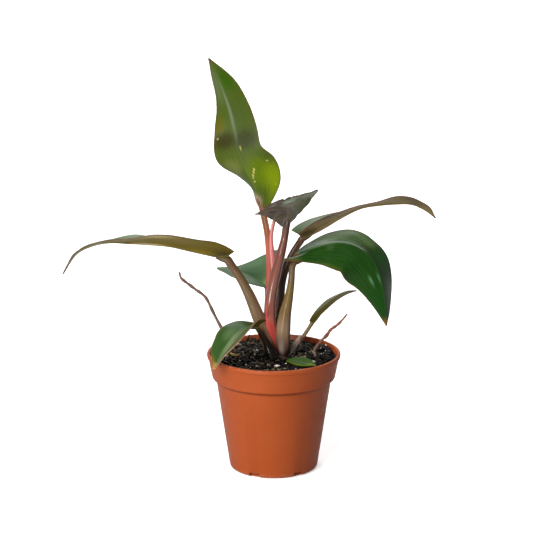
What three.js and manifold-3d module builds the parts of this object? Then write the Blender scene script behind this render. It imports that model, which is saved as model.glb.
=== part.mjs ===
// Potted pink birkin philodendron in a terracotta-coloured nursery pot.
// Millimetres, +Z up, origin at the middle of the pot's underside, the viewer's side towards -Y.

import * as THREE from 'three';
import { mergeVertices } from 'three/addons/utils/BufferGeometryUtils.js';
import Module from 'manifold-3d';

// Driving dimensions of the pot
const POT_HEIGHT = 96;
const RIM_RADIUS = 54;
const LIP_HEIGHT = 4;
const BAND_FOOT_Z = 77;
const BAND_FOOT_RADIUS = 49.7;
const LEDGE_Z = 73.8;
const BODY_TOP_RADIUS = 46.5;
const FOOT_RADIUS = 35.9;
const FOOT_CORNER = 3;
const FOOT_RING_WIDTH = 5;
const POT_WALL = 1.4;
const RIM_WALL = 2.8;
const LIP_STEP = 1.2;
const LIP_ROUND = 0.9;
const REST_DISC_RADIUS = 15;
const FLOOR_RAISE = 2;
const POT_SEGMENTS = 48;

// Drainage of the pot
const DRAIN_COUNT = 6;
const DRAIN_RADIUS = 3.2;
const DRAIN_CIRCLE = 22;
const DRAIN_SIDES = 12;
const DRAIN_CUT_LENGTH = 12;
const NOTCH_WIDTH = 9;
const NOTCH_HEIGHT = 3.6;
const NOTCH_DEPTH = 6.5;
const NOTCH_START_DEG = -116;

// Potting mix
const SOIL_WALL_Z = 92.2;
const SOIL_MOUND = 1.4;
const SOIL_HEAPS = 3;
const SOIL_HEAP_HEIGHT = 1.3;
const SOIL_HEAPS_START_DEG = 114;
const SOIL_SEGMENTS = 36;
const SOIL_RINGS = 8;

// Clearance kept between two pieces that touch
const GAP = 0.3;

// Leaf blades: flesh at the midrib and at the margin, the midrib's swelling underneath, the basal lobes
const BLADE_THICKNESS = 1.0;
const MARGIN_THICKNESS = 0.75;
const LEAST_HALF_WIDTH = 0.25;
const RIB_HALF_WIDTH = 1.5;
const RIB_LARGEST_SHARE = 0.4;
const KEEL_TAPER = 1.2;
const LOBE_ZONE = 0.3;
const HALVES_WAVE_APART = 0.25;

// Stalks and roots
const STALK_SIDES = 9;
const ROOT_SIDES = 6;
const ROOT_STEPS = 16;
const STALK_INTO_BLADE = 0.75;

// The short stem, mostly under the mix, which carries every stalk
const STEM_TOP_Z = 96.5;
const STEM_SHOULDER_Z = 90;
const STEM_FOOT_Z = 56;
const STEM_RADIUS = 13;
const STEM_X = 3;
const STEM_Y = 0;
const STEM_SIDES = 14;

const COLOURS = {
  pot: '#b4532e',
  soil: '#1d1916',
  stem: '#6d5140',
  newLeaf: '#c8616a',
  budScale: '#9a6a55',
  root: '#5d3d2b',
};

// Share of a curve that its direction is measured over
const STEP = 0.01;

const wasm = await Module();
wasm.setup();

const group = new THREE.Group();

// Solids and booleans

function toSolid(geometry) {
  const bare = geometry.clone();
  bare.deleteAttribute('normal');
  bare.deleteAttribute('uv');
  const merged = mergeVertices(bare, 1e-4);
  const index = merged.index.array;
  const position = merged.attributes.position.array;
  const kept = [];
  for (let i = 0; i < index.length; i += 3) {
    const [a, b, c] = [index[i], index[i + 1], index[i + 2]];
    if (a !== b && b !== c && a !== c) {
      kept.push(a, b, c);
    }
  }
  return new wasm.Manifold(new wasm.Mesh({
    numProp: 3,
    vertProperties: new Float32Array(position),
    triVerts: new Uint32Array(kept),
  }));
}

function toGeometry(solid) {
  const mesh = solid.getMesh();
  const geometry = new THREE.BufferGeometry();
  geometry.setAttribute('position', new THREE.BufferAttribute(new Float32Array(mesh.vertProperties), 3));
  geometry.setIndex(new THREE.BufferAttribute(new Uint32Array(mesh.triVerts), 1));
  geometry.computeVertexNormals();
  return geometry;
}

function cutBy(solid, cutters) {
  let cut = solid;
  for (const cutter of cutters) {
    cut = cut.subtract(cutter);
  }
  return cut;
}

function addPiece(name, solid, colour, roughness) {
  const material = new THREE.MeshStandardMaterial({ color: colour, roughness, metalness: 0 });
  const mesh = new THREE.Mesh(toGeometry(solid), material);
  mesh.name = name;
  group.add(mesh);
}

// Smooth interpolation through evenly spaced values

function spline(values, t) {
  const last = values.length - 1;
  const place = Math.min(Math.max(t, 0), 1) * last;
  const i = Math.min(Math.floor(place), last - 1);
  const u = place - i;
  const p1 = values[i];
  const p2 = values[i + 1];
  const p0 = i > 0 ? values[i - 1] : 2 * p1 - p2;
  const p3 = i + 2 <= last ? values[i + 2] : 2 * p2 - p1;
  const slope1 = (p2 - p0) / 2;
  const slope2 = (p3 - p1) / 2;
  const bend = 3 * (p2 - p1) - 2 * slope1 - slope2;
  const twist = 2 * (p1 - p2) + slope1 + slope2;
  return p1 + u * (slope1 + u * (bend + u * twist));
}

function splinePoint(points, t) {
  return new THREE.Vector3(
    spline(points.map((p) => p[0]), t),
    spline(points.map((p) => p[1]), t),
    spline(points.map((p) => p[2]), t),
  );
}

// Tapering stalks and roots: a closed cylinder bent along a smooth line, with its own radius at every height

function tube(points, radii, sides, steps, grow = 0) {
  const axisAt = (t) => splinePoint(points, t);
  const tangentAt = (t) => axisAt(Math.min(t + STEP, 1)).sub(axisAt(Math.max(t - STEP, 0))).normalize();
  const frames = [];
  let across = new THREE.Vector3(1, 0, 0);
  for (let i = 0; i <= steps; i += 1) {
    const t = i / steps;
    const tangent = tangentAt(t);
    across = across.clone().addScaledVector(tangent, -across.dot(tangent)).normalize();
    frames.push({ at: axisAt(t), tangent, across, deep: new THREE.Vector3().crossVectors(across, tangent) });
  }
  const geometry = new THREE.CylinderGeometry(1, 1, 1, sides, steps);
  const position = geometry.attributes.position;
  for (let k = 0; k < position.count; k += 1) {
    const t = position.getY(k) + 0.5;
    const frame = frames[Math.round(t * steps)];
    const radius = spline(radii, t) + grow;
    const end = t < 0.001 ? -grow : (t > 0.999 ? grow : 0);
    const point = frame.at.clone()
      .addScaledVector(frame.across, radius * position.getX(k))
      .addScaledVector(frame.deep, radius * position.getZ(k))
      .addScaledVector(frame.tangent, end);
    position.setXYZ(k, point.x, point.y, point.z);
  }
  return toSolid(geometry);
}

// Leaf blades: rows across a curved midrib, each half lifted and curled about it, with a waved margin.
// The upper skin and the under skin share one pattern of triangles.

function bladePoint(leaf, t, reach, side) {
  const at = splinePoint(leaf.rib, t);
  const tangent = splinePoint(leaf.rib, Math.min(t + STEP, 1))
    .sub(splinePoint(leaf.rib, Math.max(t - STEP, 0)))
    .normalize();
  const face = splinePoint(leaf.face, t);
  face.addScaledVector(tangent, -face.dot(tangent)).normalize();
  const across = new THREE.Vector3().crossVectors(tangent, face).multiplyScalar(side);
  const half = side > 0 ? leaf.right : leaf.left;
  const width = Math.max(spline(half.width, t), LEAST_HALF_WIDTH);
  const lift = THREE.MathUtils.degToRad(spline(half.lift, t));
  const curl = THREE.MathUtils.degToRad(spline(half.curl, t)) * reach;
  const chord = Math.abs(curl) > 1e-4 ? Math.sin(curl / 2) / (curl / 2) : 1;
  const out = width * reach * chord;
  const angle = lift + curl / 2;
  const lobe = Math.max(reach - RIB_HALF_WIDTH / width, 0) * Math.max(1 - t / LOBE_ZONE, 0) ** 2;
  const turns = leaf.wave.count * t + leaf.wave.phase + HALVES_WAVE_APART * side;
  const ripple = Math.sin(2 * Math.PI * turns);
  const wave = leaf.wave.height * reach ** 2 * ripple * Math.sin(Math.PI * t);
  at.addScaledVector(across, out * Math.cos(angle));
  at.addScaledVector(face, out * Math.sin(angle) + wave + half.flare * lobe);
  at.addScaledVector(tangent, -half.lobe * lobe);
  return at;
}

function bladeColumns(leaf, t, side) {
  const half = side > 0 ? leaf.right : leaf.left;
  const width = Math.max(spline(half.width, t), LEAST_HALF_WIDTH);
  const rib = Math.min(RIB_HALF_WIDTH / width, RIB_LARGEST_SHARE);
  const columns = [rib];
  for (let i = 1; i <= leaf.across; i += 1) {
    columns.push(rib + (1 - rib) * (i / leaf.across));
  }
  return columns;
}

function bladeRow(leaf, t) {
  const row = [];
  for (const reach of bladeColumns(leaf, t, -1).reverse()) {
    row.push({ side: -1, reach });
  }
  row.push({ side: 1, reach: 0 });
  for (const reach of bladeColumns(leaf, t, 1)) {
    row.push({ side: 1, reach });
  }
  return row.map(({ side, reach }) => ({ side, reach, at: bladePoint(leaf, t, reach, side) }));
}

function blade(leaf) {
  const rows = [];
  for (let i = 0; i <= leaf.along; i += 1) {
    rows.push(bladeRow(leaf, i / leaf.along));
  }
  const width = rows[0].length;
  const upper = [];
  const under = [];
  rows.forEach((row, i) => {
    const t = i / leaf.along;
    row.forEach((spot, j) => {
      const ahead = rows[Math.min(i + 1, leaf.along)][j].at;
      const behind = rows[Math.max(i - 1, 0)][j].at;
      const right = row[Math.min(j + 1, width - 1)].at;
      const left = row[Math.max(j - 1, 0)].at;
      const normal = new THREE.Vector3().crossVectors(right.clone().sub(left), ahead.clone().sub(behind));
      normal.normalize();
      const flesh = THREE.MathUtils.lerp(BLADE_THICKNESS, MARGIN_THICKNESS, spot.reach);
      const rib = spot.reach === 0 ? leaf.keel * (1 - t) ** KEEL_TAPER : 0;
      upper.push(spot.at);
      under.push(spot.at.clone().addScaledVector(normal, -(flesh + rib)));
    });
  });
  const position = [...upper, ...under].flatMap((p) => [p.x, p.y, p.z]);
  const index = [];
  const offset = upper.length;
  const skin = (a, b, c) => {
    index.push(a, b, c, offset + a, offset + c, offset + b);
  };
  const wall = (a, b) => {
    index.push(a, offset + a, b, b, offset + a, offset + b);
  };
  for (let i = 0; i < leaf.along; i += 1) {
    for (let j = 0; j < width - 1; j += 1) {
      const a = i * width + j;
      const b = a + 1;
      const c = a + width;
      const d = c + 1;
      if (j < (width - 1) / 2) {
        skin(a, b, c);
        skin(b, d, c);
      } else {
        skin(a, b, d);
        skin(a, d, c);
      }
    }
    wall((i + 1) * width, i * width);
    wall(i * width + width - 1, (i + 1) * width + width - 1);
  }
  for (let j = 0; j < width - 1; j += 1) {
    wall(j, j + 1);
    wall(leaf.along * width + j + 1, leaf.along * width + j);
  }
  const geometry = new THREE.BufferGeometry();
  geometry.setAttribute('position', new THREE.Float32BufferAttribute(position, 3));
  geometry.setIndex(index);
  return toSolid(geometry);
}

// Pot: one moulded shell, raised floor round a flat rest disc, drain holes and foot notches

function potProfile() {
  const wall = POT_WALL;
  const raise = FLOOR_RAISE;
  const lipFoot = POT_HEIGHT - LIP_HEIGHT;
  const ringInside = FOOT_RADIUS - FOOT_RING_WIDTH;
  const outside = [
    [0, 0],
    [REST_DISC_RADIUS, 0],
    [REST_DISC_RADIUS + 1, raise],
    [ringInside - 1, raise],
    [ringInside, 0],
    [FOOT_RADIUS - FOOT_CORNER, 0],
    [FOOT_RADIUS - FOOT_CORNER * 0.3, FOOT_CORNER * 0.3],
    [FOOT_RADIUS + 0.2, FOOT_CORNER],
    [BODY_TOP_RADIUS, LEDGE_Z],
    [BAND_FOOT_RADIUS - 0.5, BAND_FOOT_Z - 0.7],
    [BAND_FOOT_RADIUS, BAND_FOOT_Z + 0.3],
    [RIM_RADIUS - LIP_STEP, lipFoot],
    [RIM_RADIUS - 0.2, lipFoot + LIP_ROUND],
    [RIM_RADIUS, POT_HEIGHT - LIP_ROUND],
    [RIM_RADIUS - LIP_ROUND, POT_HEIGHT],
  ];
  const inside = [
    [RIM_RADIUS - RIM_WALL + 0.6, POT_HEIGHT],
    [insideRadius(POT_HEIGHT - LIP_ROUND), POT_HEIGHT - LIP_ROUND],
    [insideRadius(BAND_FOOT_Z + 1), BAND_FOOT_Z + 1],
    [BODY_TOP_RADIUS - wall, LEDGE_Z + 0.6],
    [FOOT_RADIUS - wall, FOOT_CORNER + wall],
    [FOOT_RADIUS - FOOT_CORNER, wall],
    [ringInside + 0.8, wall],
    [ringInside - 0.2, raise + wall],
    [REST_DISC_RADIUS + 0.2, raise + wall],
    [REST_DISC_RADIUS - 0.8, wall],
    [0, wall],
  ];
  return [...outside, ...inside].map(([r, z]) => new THREE.Vector2(r, z));
}

// Inner face of the rim band at a height

function insideRadius(z) {
  const foot = BAND_FOOT_RADIUS - POT_WALL;
  const top = RIM_RADIUS - RIM_WALL;
  return THREE.MathUtils.mapLinear(z, BAND_FOOT_Z + 1, POT_HEIGHT - LIP_ROUND, foot, top);
}

function turned(profile, segments) {
  const geometry = new THREE.LatheGeometry(profile, segments);
  geometry.rotateX(Math.PI / 2);
  return geometry;
}

function makePot() {
  const cutters = [];
  for (let i = 0; i < DRAIN_COUNT; i += 1) {
    const turn = THREE.MathUtils.degToRad(NOTCH_START_DEG + (360 / DRAIN_COUNT) * i);
    const hole = new THREE.CylinderGeometry(DRAIN_RADIUS, DRAIN_RADIUS, DRAIN_CUT_LENGTH, DRAIN_SIDES);
    hole.rotateX(Math.PI / 2);
    hole.translate(DRAIN_CIRCLE * Math.cos(turn), DRAIN_CIRCLE * Math.sin(turn), FLOOR_RAISE);
    cutters.push(toSolid(hole));
    const notch = new THREE.BoxGeometry(NOTCH_DEPTH, NOTCH_WIDTH, 2 * NOTCH_HEIGHT);
    notch.translate(FOOT_RADIUS, 0, 0);
    notch.rotateZ(turn);
    cutters.push(toSolid(notch));
  }
  return cutBy(toSolid(turned(potProfile(), POT_SEGMENTS)), cutters);
}

// Potting mix: fills the pot to just under the rim, mounded and rough on top

function soilHeight(x, y) {
  const fromAxis = Math.hypot(x, y) / RIM_RADIUS;
  const mound = SOIL_MOUND * Math.cos(Math.min(fromAxis, 1) * Math.PI / 2);
  const lumps = 0.8 * Math.sin(0.42 * x + 1.3) * Math.cos(0.37 * y - 0.6)
    + 0.55 * Math.sin(0.83 * x - 0.55 * y) + 0.4 * Math.cos(1.1 * y + 0.47 * x + 2.0);
  return soilAtWall(x, y) + mound + lumps;
}

// Where the mix meets the wall: it is pushed up against it in a few low heaps

function soilAtWall(x, y) {
  const turn = SOIL_HEAPS * Math.atan2(y, x) + THREE.MathUtils.degToRad(SOIL_HEAPS_START_DEG);
  const outward = Math.min(Math.hypot(x, y) / RIM_RADIUS, 1);
  return SOIL_WALL_Z + SOIL_HEAP_HEIGHT * outward ** 2 * Math.sin(turn);
}

function makeSoil(cutters) {
  const wall = POT_WALL + GAP;
  const fit = GAP + 0.1;
  const floor = FLOOR_RAISE + wall;
  const topRadius = insideRadius(SOIL_WALL_Z) - fit;
  const profile = [
    [0, floor],
    [FOOT_RADIUS - FOOT_RING_WIDTH - 0.2, floor],
    [FOOT_RADIUS - wall - 0.1, floor + 0.7],
    [BODY_TOP_RADIUS - wall - 0.1, LEDGE_Z + 0.9],
    [insideRadius(BAND_FOOT_Z + 1) - fit, BAND_FOOT_Z + 1.3],
    [topRadius, SOIL_WALL_Z],
  ];
  for (let i = SOIL_RINGS - 1; i >= 0; i -= 1) {
    profile.push([topRadius * (i / SOIL_RINGS), SOIL_WALL_Z]);
  }
  const geometry = turned(profile.map(([r, z]) => new THREE.Vector2(r, z)), SOIL_SEGMENTS);
  const position = geometry.attributes.position;
  for (let k = 0; k < position.count; k += 1) {
    if (position.getZ(k) < SOIL_WALL_Z - 0.1) {
      continue;
    }
    const [x, y] = [position.getX(k), position.getY(k)];
    const fromAxis = Math.hypot(x, y);
    if (fromAxis > topRadius - 1) {
      const z = soilAtWall(x, y);
      const reach = (insideRadius(z) - fit) / fromAxis;
      position.setXYZ(k, x * reach, y * reach, z);
    } else {
      position.setZ(k, soilHeight(x, y));
    }
  }
  return cutBy(toSolid(geometry), cutters);
}

// Stalks, listed front to back: the ones in front keep their full round and the ones behind give way.
// Each line runs from the short stem up to the leaf; the radii widen into a sheath low down.

const STALKS = {
  D: {
    line: [[8.6, -4, 86], [8.4, -4, 92], [7.8, -4, 100], [7.4, -5, 113.4], [9, -7, 129], [11.7, -9.5, 142.8],
      [13.8, -11.5, 157.4], [15, -12.6, 171]],
    radii: [2.8, 3.4, 4.6, 5.6, 4.8, 3.5, 2.7, 2.4, 2.6],
    leaf: 'D',
    colour: '#7f6c45',
  },
  G: {
    line: [[1.5, -10.2, 86], [-0.2, -10.6, 93], [-2.6, -10.8, 98.6], [-5.4, -11, 105.6], [-9, -12.6, 112.4]],
    radii: [5.2, 5.4, 4.4, 3.1, 2.2, 1.7],
    leaf: 'G',
    colour: '#4f4a2c',
  },
  E: {
    line: [[-2, -3.2, 86], [-3.2, -3.4, 98], [-7.4, -3.8, 113.6], [-13.6, -4.2, 129.8], [-20, -5, 145.9],
      [-27.6, -6, 160.6]],
    radii: [3.9, 4.9, 5.2, 4.4, 3.4, 3],
    leaf: 'E',
    colour: '#84684f',
  },
  B: {
    line: [[3.6, 1.6, 86], [2.8, 0, 97], [-0.8, -4.4, 112], [-2.7, -7.4, 128], [-2.3, -8.6, 144],
      [1.4, -9, 163], [5.6, -8.8, 180], [8.1, -8, 190.5]],
    radii: [2.8, 3, 3.8, 4.2, 4.1, 3.7, 3, 2.5],
    leaf: 'B',
    colour: '#9a4a46',
  },
  H: {
    line: [[13, 1.4, 86], [16.2, 4.5, 95.5], [20.8, 9, 101.5], [26.6, 13, 109.2]],
    radii: [2.2, 1.9, 1.6, 1.5],
    leaf: 'H',
    colour: '#8d7550',
  },
  A: {
    line: [[0.8, 7.2, 86], [-1.8, 7.8, 104.3], [-3, 9.6, 124.4], [-3.3, 12, 144.6], [-3.4, 15, 168.8],
      [-4.5, 17, 184.9], [-6, 18.5, 194.5]],
    radii: [2.8, 2.9, 2.9, 2.8, 2.7, 2.5, 2.4],
    leaf: 'A',
    colour: '#c4705c',
  },
  C: {
    line: [[8.4, 6.4, 86], [6.6, 7.6, 104], [5.2, 9.6, 120], [5.4, 12, 135.2], [6.3, 14.4, 148.2],
      [9.3, 17.4, 160], [16, 20.6, 174]],
    radii: [3.3, 3.4, 3.4, 3.3, 3.1, 2.8, 2.4],
    leaf: 'C',
    colour: '#513c33',
  },
  F: {
    line: [[-5, 6.6, 86], [-6.4, 10.4, 104], [-6, 14.5, 122], [-5.2, 17, 138]],
    radii: [2.3, 2.2, 2, 1.8],
    leaf: 'F',
    colour: '#80735a',
  },
};

// Leaf blades. Every list is evenly spaced from base to tip. rib: the midrib; face: where the upper side
// looks. right is the half on the side of rib direction x face, left the other one. Of each half, width is
// in millimetres, lift its slope off the midrib and curl its bending towards the margin, both in degrees,
// lobe how far its base reaches back and flare how far that lobe stands up. keel is the midrib's depth.

const LEAVES = {
  A: {
    rib: [[-9.1, 20.5, 211.4], [-15.1, 23, 224.8], [-22.3, 27, 238.7], [-28.3, 31, 253.5],
      [-32.4, 36, 271.3], [-37.2, 42, 288.9], [-44.4, 49, 307.2], [-52.4, 57, 326]],
    face: [[0.15, -0.95, 0.2], [0, -1, 0.2], [0, -1, 0.2], [0.1, -1, 0.2]],
    right: {
      width: [3, 22.5, 26, 19.5, 19, 17, 12.6, 0.5],
      lift: [0, 0, 4, 8, 4, 0, 0, 0],
      curl: [0, -10, -10, 0, 0, -10, -10, 0],
      lobe: 5.5,
      flare: 0,
    },
    left: {
      width: [3, 11, 17.2, 21, 17.2, 13.2, 8.5, 0.4],
      lift: [-50, -68, -50, -20, -15, -30, -48, -40],
      curl: [0, -30, -30, -10, -10, -20, -20, 0],
      lobe: 3,
      flare: 0,
    },
    wave: { height: 0.9, count: 2.5, phase: 0.1 },
    keel: 2.4,
    along: 17,
    across: 4,
    colour: '#4f6322',
  },
  B: {
    rib: [[9.6, -8.5, 203], [11.4, -14, 213], [10, -24, 221], [4, -35.5, 224], [-5.5, -46, 225.5],
      [-15.1, -54, 223.3]],
    face: [[0, 0.82, 0.57], [-0.05, 0.65, 0.75], [-0.1, 0.4, 0.9], [-0.3, -0.1, 0.95], [-0.4, -0.5, 0.8]],
    right: {
      width: [4, 13.5, 15, 13.5, 10.5, 6, 0.4],
      lift: [0, -10, -22, -30, -40, -55, -60],
      curl: [0, 0],
      lobe: 2,
      flare: 0,
    },
    left: {
      width: [5, 22, 28.5, 23, 15.5, 8.5, 0.4],
      lift: [56, 42, 30, 18, 26, 40, 30],
      curl: [0, 0],
      lobe: 2,
      flare: 0,
    },
    wave: { height: 0.5, count: 2, phase: 0.3 },
    keel: 2.2,
    along: 14,
    across: 4,
    colour: '#544a3c',
  },
  C: {
    rib: [[22, 22, 187], [37.3, 23, 194], [53.4, 24, 203.4], [69.5, 26, 210.6], [84.2, 29, 212.2],
      [98.9, 32, 212.4], [111.2, 36, 211], [122, 39, 206], [132.1, 42, 197.6]],
    face: [[-0.3, -0.1, 1], [-0.3, 0, 1], [0, 0, 1], [0.4, 0, 1]],
    right: {
      width: [5, 18, 23.5, 24, 22, 19, 15, 9, 0.4],
      lift: [38, 34, 21, 16, 20, 26, 26, 26, 20],
      curl: [0, 0],
      lobe: 2,
      flare: 2,
    },
    left: {
      width: [11, 20, 24, 24, 22, 19, 15, 9, 0.4],
      lift: [18, 8, -5, -11, -13, -12, -11, -10, 0],
      curl: [0, 0],
      lobe: 6.5,
      flare: 3,
    },
    wave: { height: 0.9, count: 3, phase: 0.2 },
    keel: 2.2,
    along: 16,
    across: 4,
    colour: '#5b5a36',
  },
  D: {
    rib: [[17.2, -13, 180.1], [29.4, -16, 186.2], [41.9, -20, 191.3], [54.4, -25, 193.3], [66, -30, 190.9],
      [76.1, -35, 183.3], [83.5, -39, 169.8], [87.1, -42, 151.1], [88.5, -44, 130.4]],
    face: [[-0.2, -0.45, 0.87], [-0.05, -0.5, 0.86], [0.34, -0.53, 0.77], [0.52, -0.75, 0.4],
      [0.6, -0.8, 0.05]],
    right: {
      width: [5, 13, 20.5, 25, 26.5, 27.5, 23.5, 12.5, 0.4],
      lift: [-12, -16, -16, -16, -17, -21, -27, -28, -30],
      curl: [-8, -8, -8, -8, -8, -8, -8, -8, 0],
      lobe: 15,
      flare: 9,
    },
    left: {
      width: [5, 17, 23, 28, 29, 28, 23, 13, 0.4],
      lift: [-14, -15, -15, -15, -16, -20, -26, -24, -20],
      curl: [-8, -8, -8, -8, -8, -8, -8, -8, 0],
      lobe: 4,
      flare: 0,
    },
    wave: { height: 0.4, count: 2.5, phase: 0.6 },
    keel: 2.4,
    along: 18,
    across: 4,
    colour: '#2c5213',
  },
  E: {
    rib: [[-36.5, -7, 177.8], [-51.6, -8, 181], [-66.6, -9, 184.6], [-82.5, -9, 188], [-98.4, -8, 188.9],
      [-115.2, -6, 189.2], [-131.3, -3, 188.8], [-146, 1, 184.6], [-159, 5, 176.3], [-170, 8, 159.4]],
    face: [[0.25, -0.1, 1], [0.15, 0, 1], [0, 0, 1], [-0.5, 0, 1], [-0.8, 0, 0.7]],
    right: {
      width: [8, 19, 22, 21, 19, 17, 12.5, 7, 3.5, 0.4],
      lift: [8, 7, 3, 0, 0, 3, -4, -4, 0, 0],
      curl: [0, 0],
      lobe: 4,
      flare: 0,
    },
    left: {
      width: [12, 19, 22, 21, 19, 17, 13, 8.5, 4.5, 0.4],
      lift: [48, 45, 37, 32, 31, 26, 18, 16, 24, 10],
      curl: [0, 0],
      lobe: 4,
      flare: 0,
    },
    wave: { height: 0.9, count: 3, phase: 0.4 },
    keel: 2.2,
    along: 17,
    across: 4,
    colour: '#5b5427',
  },
  F: {
    rib: [[-5.4, 18, 147], [-13.6, 24, 150.5], [-21.3, 31, 152.2], [-29.5, 39, 152.9], [-38.3, 47, 152.9],
      [-46.9, 56, 151.9]],
    face: [[0, -0.35, 0.94], [0, -0.3, 0.94]],
    right: {
      width: [19, 31, 23.5, 12, 6, 0.4],
      lift: [32, 30, 22, 12, 0, 0],
      curl: [0, 0],
      lobe: 8,
      flare: 0,
    },
    left: {
      width: [5, 16, 15, 11, 6.5, 0.4],
      lift: [20, 20, 18, 14, 10, 0],
      curl: [0, 0],
      lobe: 3,
      flare: 0,
    },
    wave: { height: 0.6, count: 2, phase: 0 },
    keel: 1.8,
    along: 13,
    across: 3,
    colour: '#5a7a5a',
  },
  G: {
    rib: [[-13.4, -16, 123.2], [-19.8, -23, 124], [-26.8, -30, 119.8], [-33.9, -36, 112.5],
      [-41.4, -40, 103.8], [-48.1, -43, 94.4]],
    face: [[-0.2, -0.3, 1], [-0.4, -0.3, 0.9], [-0.6, -0.4, 0.7]],
    right: {
      width: [6, 15.5, 20, 20, 15.5, 0.4],
      lift: [8, 10, 13, 12, 12, 0],
      curl: [0, -10, -10, -10, -10, 0],
      lobe: 3,
      flare: 0,
    },
    left: {
      width: [8, 14, 16, 14, 9, 0.4],
      lift: [45, 35, 28, 27, 27, 20],
      curl: [0, 0],
      lobe: 6,
      flare: 0,
    },
    wave: { height: 0.5, count: 1.5, phase: 0.2 },
    keel: 1.6,
    along: 13,
    across: 3,
    colour: '#3d6a2c',
  },
  H: {
    rib: [[30.5, 16, 117.4], [36.4, 18, 122.8], [44.1, 20, 129.4], [51.5, 23, 134.6], [59.4, 26, 138.2],
      [67.3, 29, 140]],
    face: [[-0.6, 0, 0.8], [-0.5, 0, 0.9], [-0.2, 0, 1]],
    right: {
      width: [3, 7.5, 8.5, 7, 4.6, 0.4],
      lift: [36, 36, 34, 28, 26, 20],
      curl: [0, 0],
      lobe: 3,
      flare: 0,
    },
    left: {
      width: [3, 7.5, 8.5, 7, 4.6, 0.4],
      lift: [18, 14, 14, 14, 10, 5],
      curl: [0, 0],
      lobe: 3,
      flare: 0,
    },
    wave: { height: 0.3, count: 1.5, phase: 0 },
    keel: 1.2,
    along: 10,
    across: 2,
    colour: '#4d5f2a',
  },
  I: {
    rib: [[10.6, -17.3, 94.8], [16.2, -19.8, 95], [22, -22.8, 94.9], [28, -25.8, 94.5], [33.5, -28.3, 93.5]],
    face: [[-0.1, -0.2, 1], [0, -0.3, 1], [0.2, -0.3, 1]],
    right: {
      width: [1.2, 4.5, 5.4, 4.4, 0.4],
      lift: [0, 0],
      curl: [0, 0],
      lobe: 0,
      flare: 0,
    },
    left: {
      width: [1.2, 4.5, 5.4, 4.4, 0.4],
      lift: [3, 3, 3, 3, 0],
      curl: [0, 0],
      lobe: 0,
      flare: 0,
    },
    wave: { height: 0.2, count: 1, phase: 0 },
    keel: 0.8,
    along: 8,
    across: 2,
    colour: '#6c9136',
  },
};

// A stalk's line, with its upper end set against the underside of its leaf's base

function stalkLine(stalk) {
  const leaf = LEAVES[stalk.leaf];
  const base = splinePoint(leaf.rib, 0);
  const tangent = splinePoint(leaf.rib, 0.02).sub(base).normalize();
  const face = new THREE.Vector3(...leaf.face[0]);
  face.addScaledVector(tangent, -face.dot(tangent)).normalize();
  const end = base
    .addScaledVector(face, -stalk.radii.at(-1) * STALK_INTO_BLADE)
    .addScaledVector(tangent, -GAP);
  return [...stalk.line, [end.x, end.y, end.z]];
}

function makeStalks() {
  const made = {};
  const cutters = [];
  for (const [key, stalk] of Object.entries(STALKS)) {
    const line = stalkLine(stalk);
    const steps = 2 * line.length;
    made[key] = cutBy(tube(line, stalk.radii, STALK_SIDES, steps), cutters);
    cutters.push(tube(line, stalk.radii, STALK_SIDES, steps, GAP));
  }
  return { made, cutters };
}

// Short stem: a tapering rootstock, domed at the crown, with a socket for each stalk

function stemShape(grow) {
  const profile = [
    [0, STEM_FOOT_Z - grow],
    [STEM_RADIUS * 0.6 + grow, STEM_FOOT_Z - grow],
    [STEM_RADIUS + grow, STEM_SHOULDER_Z - 3],
    [STEM_RADIUS * 0.9 + grow, STEM_SHOULDER_Z + grow],
    [STEM_RADIUS * 0.5 + grow, STEM_TOP_Z - 1.5 + grow],
    [0, STEM_TOP_Z + grow],
  ];
  const geometry = turned(profile.map(([r, z]) => new THREE.Vector2(r, z)), STEM_SIDES);
  geometry.translate(STEM_X, STEM_Y, 0);
  return toSolid(geometry);
}

// Rolled new leaf, dried bud scale and aerial roots

const NEW_LEAF = {
  sides: 8,
  steps: 18,
  line: [[-1.6, 2.4, 86], [-1.4, 2.6, 106], [0.6, 3, 128], [1.4, 3.2, 148], [-0.4, 5, 169], [-2, 7, 187.4],
    [-1, 8, 197], [0.5, 9, 202.6], [3, 10, 211]],
  radii: [1.5, 1.6, 2, 2.4, 2.4, 1.6, 1.5, 1.3, 0.5],
};

const BUD_SCALE = {
  sides: 8,
  steps: 8,
  line: [[14.6, -3.4, 88], [14.8, -1.4, 95], [17.2, 0.8, 100.5], [19.9, 2.2, 105.5], [21.7, 3, 109.6]],
  radii: [1.6, 2.6, 2.8, 1.9, 0.5],
};

const AERIAL_ROOTS = {
  left: {
    sides: ROOT_SIDES,
    steps: ROOT_STEPS,
    line: [[-27, 8, 84], [-31, 9, 94], [-37.1, 10, 99.5], [-42.7, 12, 113.1], [-49.2, 13, 125.8],
      [-55, 13, 137.9], [-65.2, 12, 146.7], [-73.9, 10, 154.3], [-76.1, 9, 160.1]],
    radii: [1.1, 1.2, 1.25, 1.25, 1.25, 1.2, 1.2, 1.1, 0.7],
  },
  right: {
    sides: ROOT_SIDES,
    steps: ROOT_STEPS,
    line: [[34, -14, 84], [33.6, -9, 94.5], [32.5, -2, 97], [35.8, 4, 100.7], [40.3, 8, 105],
      [46.9, 12, 111.7], [53, 14, 115.9], [59.7, 15, 123.7]],
    radii: [0.8, 0.85, 1, 1.15, 1.2, 1.2, 1.1, 0.6],
  },
};

// Putting the pieces together

const { made: stalks, cutters: stalkCutters } = makeStalks();

const grown = (piece, grow) => tube(piece.line, piece.radii, piece.sides, piece.steps, grow);
const smallCutters = [grown(NEW_LEAF, GAP), grown(BUD_SCALE, GAP)];
const rootCutters = Object.values(AERIAL_ROOTS).map((root) => grown(root, GAP));
const crownCutters = [...stalkCutters, ...smallCutters];

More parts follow.
